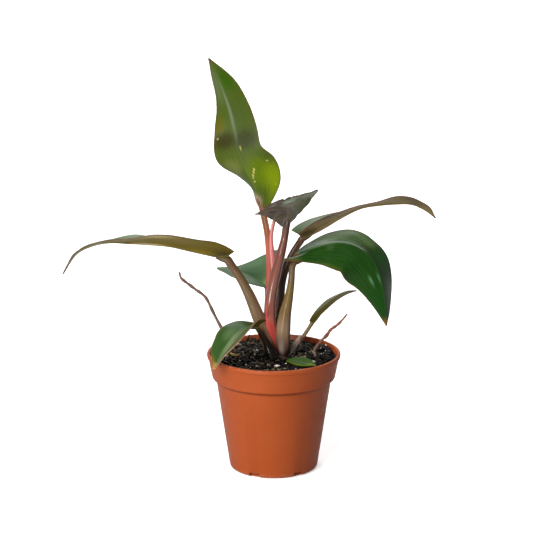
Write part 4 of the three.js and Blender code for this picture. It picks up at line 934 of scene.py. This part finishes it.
STALKS = {
  "D": dict(
    line=[(8.6, -4, 86), (8.4, -4, 92), (7.8, -4, 100), (7.4, -5, 113.4), (9, -7, 129), (11.7, -9.5, 142.8),
        (13.8, -11.5, 157.4), (15, -12.6, 171)],
    radii=[2, 2.4, 5, 5.8, 4.8, 3.5, 2.7, 2.4, 2.6],
    slot="stalk_olive", collar=0.7, gloss=0.1,
    colours=["#150a08", "#2e1a14", "#6c5648", "#8a7258", "#705834", "#6b5528", "#65523a", "#553f2a",
        "#4b4510"],
    # The first stripe is a painted highlight, a pale patch on the front left of the swollen sheath.
    stripes=[("#b09c92", 0.7, 0.1, 0.22, 0.28), ("#3a2a1c", 0.0, 0.15, 0.15, 1),
        ("#2a1c16", 0.9, 0.2, 0, 0.24)]),
  # G's sheath is drawn wide and nearly black at its foot: partly its own dark sheath, partly painted shade
  # where the stalks crowd into the crown.
  "G": dict(
    line=[(1.5, -10.2, 86), (-0.2, -10.6, 93), (-2.6, -10.8, 98.6), (-5.4, -11, 105.6), (-9, -12.6, 112.4)],
    radii=[5.2, 5.4, 4.4, 3.1, 2.2, 1.7],
    slot="stalk_dark_olive", collar=0.1, gloss=0.1,
    colours=["#14100c", "#15100b", "#17110c", "#1d140d", "#2a1d12", "#66581a"],
    stripes=[("#65483f", 0.5, 0.12, 0.6, 0.85)]),
  "E": dict(
    line=[(-2, -3.2, 86), (-3.2, -3.4, 98), (-7.4, -3.8, 113.6), (-13.6, -4.2, 129.8), (-20, -5, 145.9),
        (-27.6, -6, 160.6)],
    radii=[3.9, 4.9, 5.2, 4.4, 3.4, 3],
    slot="stalk_taupe", collar=0.1, gloss=0.04,
    colours=["#3a241c", "#6a4a3c", "#8d6a50", "#7c664c", "#6d563d", "#6a553a", "#664c36", "#5a4a2c"],
    stripes=[("#a8766a", 0.95, 0.07, 0.25, 0.6)]),
  "B": dict(
    line=[(3.6, 1.6, 86), (2.8, 0, 97), (-0.8, -4.4, 112), (-2.7, -7.4, 128), (-2.3, -8.6, 144),
        (1.4, -9, 163), (5.6, -8.8, 180), (8.1, -8, 190.5)],
    radii=[2.8, 3, 3.8, 4.2, 4.1, 3.7, 3, 2.5],
    slot="stalk_dusty_red", collar=0.12, gloss=1.0,
    colours=["#7a4a3c", "#b84a42", "#cc5048", "#924638", "#7c4838", "#744034", "#6e3e32", "#683e32",
        "#4a382c"],
    stripes=[("#c85048", 0.56, 0.14, 0.12, 0.4), ("#5c3020", 0.95, 0.16, 0.3, 1)]),
  "H": dict(
    line=[(13, 1.4, 86), (16.2, 4.5, 95.5), (20.8, 9, 101.5), (26.6, 13, 109.2)],
    radii=[2.2, 1.9, 1.6, 1.5],
    slot="stalk_beige", collar=0.1, gloss=0.2,
    colours=["#4a3626", "#8a6c4c", "#c8ac88", "#b09a74", "#94805a", "#6a5a24"],
    stripes=[("#5a3410", 0.95, 0.18, 0.5, 1)]),
  "A": dict(
    line=[(0.8, 7.2, 86), (-1.8, 7.8, 104.3), (-3, 9.6, 124.4), (-3.3, 12, 144.6), (-3.4, 15, 168.8),
        (-4.5, 17, 184.9), (-6, 18.5, 194.5)],
    radii=[2.8, 2.9, 2.9, 2.8, 2.7, 2.5, 2.4],
    slot="stalk_salmon", collar=0.1, gloss=0.2,
    colours=["#8a4a3c", "#c2504a", "#b0524a", "#a8564a", "#ad5648", "#ab5a46", "#9a5c3c", "#7e5a3c",
        "#5e4a34"],
    stripes=[("#d87c5a", 0.95, 0.12, 0.66, 0.88), ("#7a4a30", 0.68, 0.07, 0.68, 1)]),
  "C": dict(
    line=[(8.4, 6.4, 86), (6.6, 7.6, 104), (5.2, 9.6, 120), (5.4, 12, 135.2), (6.3, 14.4, 148.2),
        (9.3, 17.4, 160), (16, 20.6, 174)],
    radii=[3.3, 3.4, 3.4, 3.3, 3.1, 2.8, 2.4],
    slot="stalk_dark_brown", collar=0.15, gloss=0.12,
    colours=["#8a6850", "#8a6650", "#6b5040", "#4c3a2c", "#3e2c20", "#5a3c2c", "#5a4030"],
    stripes=[("#231a10", 0.55, 0.12, 0.3, 0.9)]),
  "F": dict(
    line=[(-5, 6.6, 86), (-6.4, 10.4, 104), (-6, 14.5, 122), (-5.2, 17, 138)],
    radii=[2.3, 2.2, 2, 1.8],
    slot="stalk_grey_olive", collar=0.1, gloss=0.1,
    colours=["#8a7058", "#7a6a50", "#787148"],
    stripes=[("#5a4a34", 0.3, 0.1, 0, 1)]),
}


def line_frames(points, steps):
    """Places along a smooth line, with two crosswise directions at each that never twist."""
    runs = np.linspace(0, 1, steps + 1)
    places = spline(points, runs)
    along = direction(points, runs)
    first = np.zeros_like(places)
    across = np.array([1.0, 0, 0])
    for i, tangent in enumerate(along):
        across = cross_over(across, tangent)
        first[i] = across
    return places, first, np.cross(along, first)


def bent_tube(name, points, radii, sides, steps, form=None):
    """A grid rolled up round a smooth line, its seam merged and its ends filled. form(turn, run) is a share
    of the radius by the turn round it and the run along it, both from 0 to 1."""
    places, first, second = line_frames(points, steps)

    def surface(turn, run):
        i = np.round(run * steps).astype(int)
        radius = spline(radii, run)
        if form is not None:
            radius = radius * form(turn, run)
        angle = 2 * np.pi * turn
        out = first[i] * np.cos(angle)[:, None] + second[i] * np.sin(angle)[:, None]
        return places[i] + out * radius[:, None]

    tube, _ = shape_grid(name, sides, steps, surface)
    bpy.ops.object.mode_set(mode="EDIT")
    bpy.ops.mesh.select_all(action="SELECT")
    bpy.ops.mesh.remove_doubles(threshold=0.02 * MM)
    bpy.ops.mesh.fill_holes(sides=0)
    face_outwards()
    bpy.ops.object.shade_smooth_by_angle(angle=math.radians(50))
    return tube


def stalk_line(key):
    """A stalk's line with its upper end under the base of its blade, run on a little into the midrib."""
    leaf, stalk = LEAVES[key], STALKS[key]
    base = spline(leaf["rib"], np.zeros(1))[0]
    tangent = unit(spline(leaf["rib"], np.full(1, 0.02))[0] - base)
    face = cross_over(np.array(leaf["face"][0], float), tangent)
    end = base - face * stalk["radii"][-1] * (1 + stalk["collar"]) * STALK_INTO_BLADE
    beyond = end + tangent * STALK_RUN_ON
    runs = np.linspace(0, 1, STALK_POINTS)
    spaced = spline(stalk["line"] + [tuple(end)], runs)
    radii = spline(stalk["radii"], runs) * (1 + stalk["collar"] * smooth(runs, COLLAR_START, 1))
    spaced = np.concatenate([spaced, [(end + beyond) / 2, beyond]])
    radii = np.concatenate([radii, radii[-1:] * 0.75, radii[-1:] * 0.3])
    return spaced, radii


def ring_place(tree, chart, pitch):
    """A place for noise on a tube that has no seam: round by its turn, and up by its run times a pitch."""
    turn = times(tree, chart["X"], 2 * math.pi)
    return wire(tree, "CombineXYZ", {0: maths(tree, "COSINE", turn), 1: maths(tree, "SINE", turn),
                                     2: times(tree, chart["Y"], pitch)}).outputs[0]


def petiole_material(name, stalk):
    """Glossy petiole skin: its colours from base to blade, the stripes along it, a few of them painted
    highlights, and fine streaks.
    """
    material, tree = new_material(
        name, 0.3, {"Specular IOR Level": 0.16, "Coat Weight": stalk["gloss"], "Coat Roughness": 0.09})
    chart = chart_place(tree)
    colour, *shades = [linear(shade) for shade in stalk["colours"]]
    for i, shade in enumerate(shades):
        step = ramp(tree, chart["Y"], i / len(shades), (i + 1) / len(shades))
        colour = mixed(tree, step, colour, shade)
    for shade, middle, wide, low, high in stalk["stripes"]:
        past = maths(tree, "FRACT", maths(tree, "ADD", chart["X"], 1.5 - middle))
        away = maths(tree, "ABSOLUTE", maths(tree, "SUBTRACT", past, 0.5))
        start = ramp(tree, chart["Y"], low - 0.06, low + 0.06)
        end = ramp(tree, chart["Y"], high + 0.06, high - 0.06)
        mask = times(tree, ramp(tree, away, wide, wide * 0.3), times(tree, start, end))
        colour = laid_over(tree, colour, shade, mask, 0.85)
    streaks = mottled(tree, ring_place(tree, chart, 2.2), 3.2, 3.0)
    darker = mixed(tree, 1.0, colour, linear("#c4bcb4"), "MULTIPLY")
    colour = mixed(tree, times(tree, streaks, 0.6), colour, darker)
    return clad(material, colour, streaks, 0.25, 0.15, ramp(tree, streaks, 0.0, 1.0, 0.2, 0.32))


def petiole_form(turn, run):
    """Slightly oval, with two faint ridges that mark the sheath's edges low down."""
    oval = 1 + 0.035 * np.cos(4 * np.pi * turn)
    ridge = np.exp(-((turn - 0.33) / 0.025) ** 2) + np.exp(-((turn - 0.47) / 0.025) ** 2)
    return oval + 0.07 * ridge * smooth(run, 0.55, 0.2)


for key, stalk in STALKS.items():
    points, radii = stalk_line(key)
    petiole = bent_tube(f"petiole_{key}", points, radii, STALK_SIDES, STALK_STEPS, petiole_form)
    petiole.data.materials.append(petiole_material(f"petiole_{key}_skin", stalk))
    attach(petiole, "root")
    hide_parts(f"stalk_{key}")

# The crown: the domed top of the short stem, which every stalk grows from. It is corky and knobbly between
# the sheaths, with old ring scars, and stands in the mix with only its top showing.

STEM_MIDDLE = (3, 0)
STEM_RADIUS = 13
STEM_DOME_Z = 88.4
STEM_FLATTENED = 0.62
KNOB_HEIGHT = 0.5
SCAR_SPACING = 0.45
SCAR_HEIGHT = 0.12


def make_crown():
    """A sphere squashed to the stem's dome and pushed about by coarse noise."""
    start_clean()
    bpy.ops.mesh.primitive_uv_sphere_add(segments=72, ring_count=48, radius=STEM_RADIUS * MM)
    crown = named("crown")
    for corner in crown.data.vertices:
        x, y, z = corner.co
        knob = noise.fractal(corner.co * 260, 0.8, 2.0, 3) * KNOB_HEIGHT * MM
        rings = math.sin(z / (SCAR_SPACING * MM)) * SCAR_HEIGHT * MM
        push = 1 + (knob + rings) / (STEM_RADIUS * MM)
        corner.co = (x * push + STEM_MIDDLE[0] * MM, y * push + STEM_MIDDLE[1] * MM,
                     z * STEM_FLATTENED * push + STEM_DOME_Z * MM)
    bpy.ops.object.shade_smooth()
    return crown


def bark_material():
    """Corky brown bark with paler scales."""
    material, tree = new_material("stem_bark", 0.75)
    place = object_place(tree)
    scales = wire(tree, "TexVoronoi", {"Vector": place, "Scale": 420.0}).outputs["Distance"]
    colour = mixed(tree, mottled(tree, place, 180.0, 3.0), linear("#3d2a1e"), linear("#6d5140"))
    colour = laid_over(tree, colour, "#8a6e58", ramp(tree, scales, 0.5, 0.1))
    return clad(material, colour, scales, 0.6, 0.4)


crown = make_crown()
crown.data.materials.append(bark_material())
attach(crown, "root")
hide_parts("stem")

# The new leaf: the youngest, still rolled up tight about its own midrib, glossy pink. It stands in the crown
# beside stalk A, and its free edge is a step that winds up the roll.

ROLLED_LINE = [(-1.6, 2.4, 86), (-1.4, 2.6, 106), (0.6, 3, 128), (1.4, 3.2, 148), (-0.4, 5, 169),
               (-2, 7, 187.4), (-1, 8, 197), (0.5, 9, 202.6), (3, 10, 211)]
ROLLED_RADII = [1.5, 1.6, 2, 2.4, 2.4, 1.6, 1.5, 1.3, 0.5]
ROLLED_SIDES = 48
ROLLED_STEPS = 110


def rolled_form(turn, run):
    """The wrap of the roll: it grows by a leaf's thickness once round, and the step winds slowly upwards."""
    place = (turn + 0.35 * run + 0.1) % 1
    wrap = 0.86 + 0.2 * place
    return wrap - 0.2 * smooth(place, 0.97, 1.0)


rolled = bent_tube("rolled_new_leaf", ROLLED_LINE, ROLLED_RADII, ROLLED_SIDES, ROLLED_STEPS, rolled_form)
# The pale pink stripe down the front left of the roll is a painted highlight.
rolled.data.materials.append(petiole_material("new_leaf_skin", {
    "colours": ["#a8453b", "#8a4238", "#7a3c30", "#a85c58", "#c46a68", "#bc6660", "#a4654d", "#7a6048"],
    "stripes": [("#d98a8c", 0.66, 0.08, 0.4, 0.8)], "gloss": 1.0}))
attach(rolled, "root")
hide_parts("new_leaf")

# The dried bud scale: a papery sheath that once covered a leaf, curled to a gutter and drawn out to a point.
# It is dead and brown at its foot, where it stands in the crown beside stalk H, and still pink at its tip.

SCALE_LINE = [(14.6, -3.4, 88), (14.8, -1.4, 95), (17.2, 0.8, 100.5), (19.9, 2.2, 105.5), (21.7, 3, 109.6)]
SCALE_RADII = [1.6, 2.6, 2.8, 1.9, 0.5]
SCALE_SIDES = 44
SCALE_STEPS = 60


def scale_form(turn, run):
    """Wrinkled along its length and hollowed on one side."""
    pleats = 0.05 * np.sin(2 * np.pi * (11 * turn + 0.6 * run))
    hollow = 0.38 * np.exp(-((turn - 0.25) / 0.1) ** 2) * smooth(run, 0.1, 0.35)
    return 1.04 + pleats - hollow


def papery_material():
    """Dead scale tissue: pinkish brown, streaked white where it has dried out, pink at its tip."""
    material, tree = new_material("dried_scale", 0.62)
    chart = chart_place(tree)
    streaks = mottled(tree, ring_place(tree, chart, 0.7), 5.0, 5.0)
    colour = mixed(tree, ramp(tree, chart["Y"], 0.5, 0.85), linear("#2a1e16"), linear("#a07468"))
    colour = laid_over(tree, colour, "#b9a792", ramp(tree, streaks, 0.6, 1.0), 0.6)
    return clad(material, colour, streaks, 0.5, 0.2)


scale = bent_tube("dried_bud_scale", SCALE_LINE, SCALE_RADII, SCALE_SIDES, SCALE_STEPS, scale_form)
scale.data.materials.append(papery_material())
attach(scale, "root")
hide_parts("bud_scale")

# The aerial roots: two wiry roots from low on the stem, knobbly and brown. They come up through the mix and
# wander out over the rim, one to each side.

ROOT_SIDES = 14
ROOT_STEPS = 120

AERIAL_ROOTS = {
  "left": {
    "line": [(-27, 8, 84), (-31, 9, 94), (-37.1, 10, 99.5), (-42.7, 12, 113.1), (-49.2, 13, 125.8),
             (-55, 13, 137.9), (-65.2, 12, 146.7), (-73.9, 10, 154.3), (-76.1, 9, 160.1)],
    "radii": [1.1, 1.2, 1.25, 1.25, 1.25, 1.2, 1.2, 1.1, 0.7],
    "shades": ("#4a342a", "#5c4032", "#7f6252"),
  },
  "right": {
    "line": [(34, -14, 84), (33.6, -9, 94.5), (32.5, -2, 97), (35.8, 4, 100.7), (40.3, 8, 105),
             (46.9, 12, 111.7), (53, 14, 115.9), (59.7, 15, 123.7)],
    "radii": [0.8, 0.85, 1, 1.15, 1.2, 1.2, 1.1, 0.6],
    "shades": ("#5c4c40", "#7a3a1c", "#8a5a40"),
  },
}


def root_form(turn, run):
    """Small knobs and joints at uneven steps."""
    return 1 + 0.14 * np.sin(57 * run + 3 * np.sin(9 * run)) + 0.07 * np.sin(6 * np.pi * turn + 40 * run)


def root_material(name, shades):
    """Dry root skin, darker low down, rubbed redder on its outer length."""
    material, tree = new_material(name, 0.6)
    low, high, worn = shades
    spots = mottled(tree, object_place(tree), 600.0, 3.0)
    colour = mixed(tree, ramp(tree, chart_place(tree)["Y"], 0.3, 0.75), linear(low), linear(high))
    return clad(material, laid_over(tree, colour, worn, spots, 0.6), spots, 0.5, 0.15)


for side, root in AERIAL_ROOTS.items():
    aerial = bent_tube(f"air_root_{side}", root["line"], root["radii"], ROOT_SIDES, ROOT_STEPS, root_form)
    aerial.data.materials.append(root_material(f"air_root_{side}_skin", root["shades"]))
    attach(aerial, "root")
    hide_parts(f"aerial_root_{side}")

# The loose things on the mix: rootlets and coir threads, a curl of yellow bark, a pinkish stone and a dark
# twig by the wall, which lie where they fell, half sunk among the crumbs. The side rootlet grows from the
# right aerial root.

FIBRE_COUNT = 150
BARK_CURL = [(-35.4, 5.5), (-34.6, 0.5), (-32.8, -4.5), (-30, -5.2), (-27.2, -2.2)]
BARK_CURL_RADII = [0.3, 0.7, 0.9, 0.8, 0.4]
STONE_AT = (-29.5, 22.5)
STONE_SIZE = (1.8, 1.5, 1.3)
TWIG_AT = (-20.3, 41)
TWIG_BENDS = [(0, -2), (-0.4, 3), (0.8, 5)]
TWIG_RADII = [1.1, 0.9, 0.4]
SIDE_ROOT_LINE = [(39.8, 7.6, 104.4), (42.2, 8.6, 105.4), (44, 9, 106.8), (45.4, 9.2, 109)]
SIDE_ROOT_RADII = [0.7, 0.65, 0.5, 0.25]


def tube_on_mix(name, spots, lift, radii, sides, steps):
    """A tube that follows the top of the mix through spots, lifted off it by a little."""
    line = [(x, y, soil_height(x, y) + lift) for x, y in spots]
    return bent_tube(name, line, radii, sides, steps)


def fuse(name, pieces):
    """Joins small pieces into one, each keeping a tint of its own."""
    start_clean()
    for piece, tint in pieces:
        shades = piece.data.attributes.new("tint", "FLOAT", "POINT")
        shades.data.foreach_set("value", [tint] * len(piece.data.vertices))
        piece.select_set(True)
    bpy.context.view_layer.objects.active = pieces[0][0]
    bpy.ops.object.join()
    return named(name)


def loose_fibres():
    """Thin crooked threads that lie along the top of the mix."""
    draw = random.Random(53)
    pieces = []
    while len(pieces) < FIBRE_COUNT:
        x, y = spot_on_mix(draw, 10)
        heading, step = draw.uniform(0, math.tau), draw.uniform(0.8, 2)
        spots = []
        for j in range(7):
            spots.append((x, y))
            heading += draw.uniform(-0.7, 0.7)
            x, y = x + step * math.cos(heading), y + step * math.sin(heading)
        if not any(under_low_leaf(x, y) for x, y in spots):
            radius = draw.uniform(0.09, 0.17)
            lift, radii = draw.uniform(0.7, 1.6), [radius, radius, 0.05]
            fibre = tube_on_mix(f"fibre_{len(pieces)}", spots, lift, radii, 5, 12)
            pieces.append((fibre, draw.random()))
    return fuse("loose_fibres", pieces)


fibres = loose_fibres()
curl = fuse("bark_curl", [(tube_on_mix("curl", BARK_CURL, 2, BARK_CURL_RADII, 8, 30), 0.9)])

stone_draw = random.Random(7)
stone_mould = lump_moulds(stone_draw, 1, 3, 0.3)
stone_place = np.array([*STONE_AT, soil_height(*STONE_AT) + 2]) * MM
stone_placing = (np.array(STONE_SIZE) * MM, any_turn(stone_draw, 0.3), stone_place, 0.7)
stone = strew("pinkish_stone", stone_draw, stone_mould, [stone_placing])

twig_x, twig_y = TWIG_AT
twig_z = soil_height(*TWIG_AT)
twig_line = [(twig_x + aside, twig_y, twig_z + rise) for aside, rise in TWIG_BENDS]
twig = bent_tube("dark_twig", twig_line, TWIG_RADII, 9, 16, root_form)

for piece, material in (
        (fibres, mix_material("rootlet_fibre", "#3a2a20", "#8a7658", "#cbbd9c", 0.6, 0.7)),
        (curl, mix_material("yellow_bark", "#8a6c34", "#c0a060", "#d0b880", 0.6, 1.0)),
        (stone, mix_material("pink_stone", "#8a6a58", "#cfa894", "#e6d0c0", 0.5, 0.9)),
        (twig, root_material("twig_bark", ("#15100c", "#1d1712", "#3a3026")))):
    piece.data.materials.append(material)
    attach(piece, "root")

side_root = bent_tube("side_rootlet", SIDE_ROOT_LINE, SIDE_ROOT_RADII, 9, 30, root_form)
side_root.data.materials.append(root_material("side_rootlet_skin", AERIAL_ROOTS["right"]["shades"]))
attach(side_root, "root")

# The studio: a plain white sweep under a large soft key from the front left, a softbox overhead, a tall
# narrow strip, and a small low one near the pot. The sweep looks white but throws little light back up, so
# that the pot and leaves keep their shaded sides.

FLOOR_SPAN = 16
FLOOR_GLOW = 0.35
CAMERA_AT = (-5.84, -1838.65, 646.2)
CAMERA_TILT = 75.4
CAMERA_LENS = 160.41
KEY_STRENGTH = 2.5
KEY_SOFTNESS = 24
KEY_HEIGHT = 36
KEY_SIDE = -40
WORLD_STRENGTH = 0.2


def add_floor():
    """A wide white floor, light grey to all but the camera."""
    start_clean()
    bpy.ops.mesh.primitive_plane_add(size=FLOOR_SPAN)
    floor = named("studio_floor")
    material, tree = new_material("studio_white", 0.9, {"Emission Strength": 1})
    seen = wire(tree, "LightPath").outputs["Is Camera Ray"]
    patches = mottled(tree, object_place(tree), 1.5, 0.6)
    white = mixed(tree, patches, (0.93, 0.93, 0.93, 1), (0.95, 0.95, 0.95, 1))
    glow = mixed(tree, seen, (0, 0, 0, 1), (FLOOR_GLOW, FLOOR_GLOW, FLOOR_GLOW, 1))
    shader = tree.nodes["Principled BSDF"]
    tree.links.new(mixed(tree, seen, (0.5, 0.5, 0.5, 1), white), shader.inputs["Base Color"])
    tree.links.new(glow, shader.inputs["Emission Color"])
    floor.data.materials.append(material)


def add_light(name, size, power, at, towards):
    """A soft rectangular light aimed at a point, all in metres and watts."""
    lamp = bpy.data.lights.new(name, "AREA")
    lamp.shape = "RECTANGLE"
    lamp.size, lamp.size_y = size
    lamp.energy = power
    light = put(name, lamp)
    light.location = at
    light.rotation_euler = (Vector(towards) - Vector(at)).to_track_quat("-Z", "Y").to_euler()
    light.visible_camera = False


add_floor()
sun = bpy.data.lights.new("key_light", "SUN")
sun.energy = KEY_STRENGTH
sun.angle = math.radians(KEY_SOFTNESS)
key_light = put("key_light", sun)
key_light.rotation_euler = (math.radians(90 - KEY_HEIGHT), 0, math.radians(KEY_SIDE))
add_light("low_strip", (0.022, 0.1), 0.3, (-0.127, -0.272, 0.056), (0, 0, 0.13))
add_light("strip_light", (0.16, 1.3), 16, (-0.62, -1.8, 0.8), (0, 0, 0.2))
add_light("overhead_light", (2.2, 1.6), 42, (0.1, 1.5, 1.75), (0, 0, 0.2))
world = bpy.data.worlds.new("studio_world")
world.use_nodes = True
background = world.node_tree.nodes["Background"]
background.inputs["Color"].default_value = (1, 1, 1, 1)
background.inputs["Strength"].default_value = WORLD_STRENGTH
bpy.context.scene.world = world
bpy.context.scene.view_settings.view_transform = "Standard"

lens = bpy.data.cameras.new("camera")
lens.lens = CAMERA_LENS
lens.sensor_width = 36
lens.clip_end = 100
camera = put("camera", lens)
camera.location = [place * MM for place in CAMERA_AT]
camera.rotation_euler = (math.radians(CAMERA_TILT), 0, 0)
bpy.context.scene.camera = camera
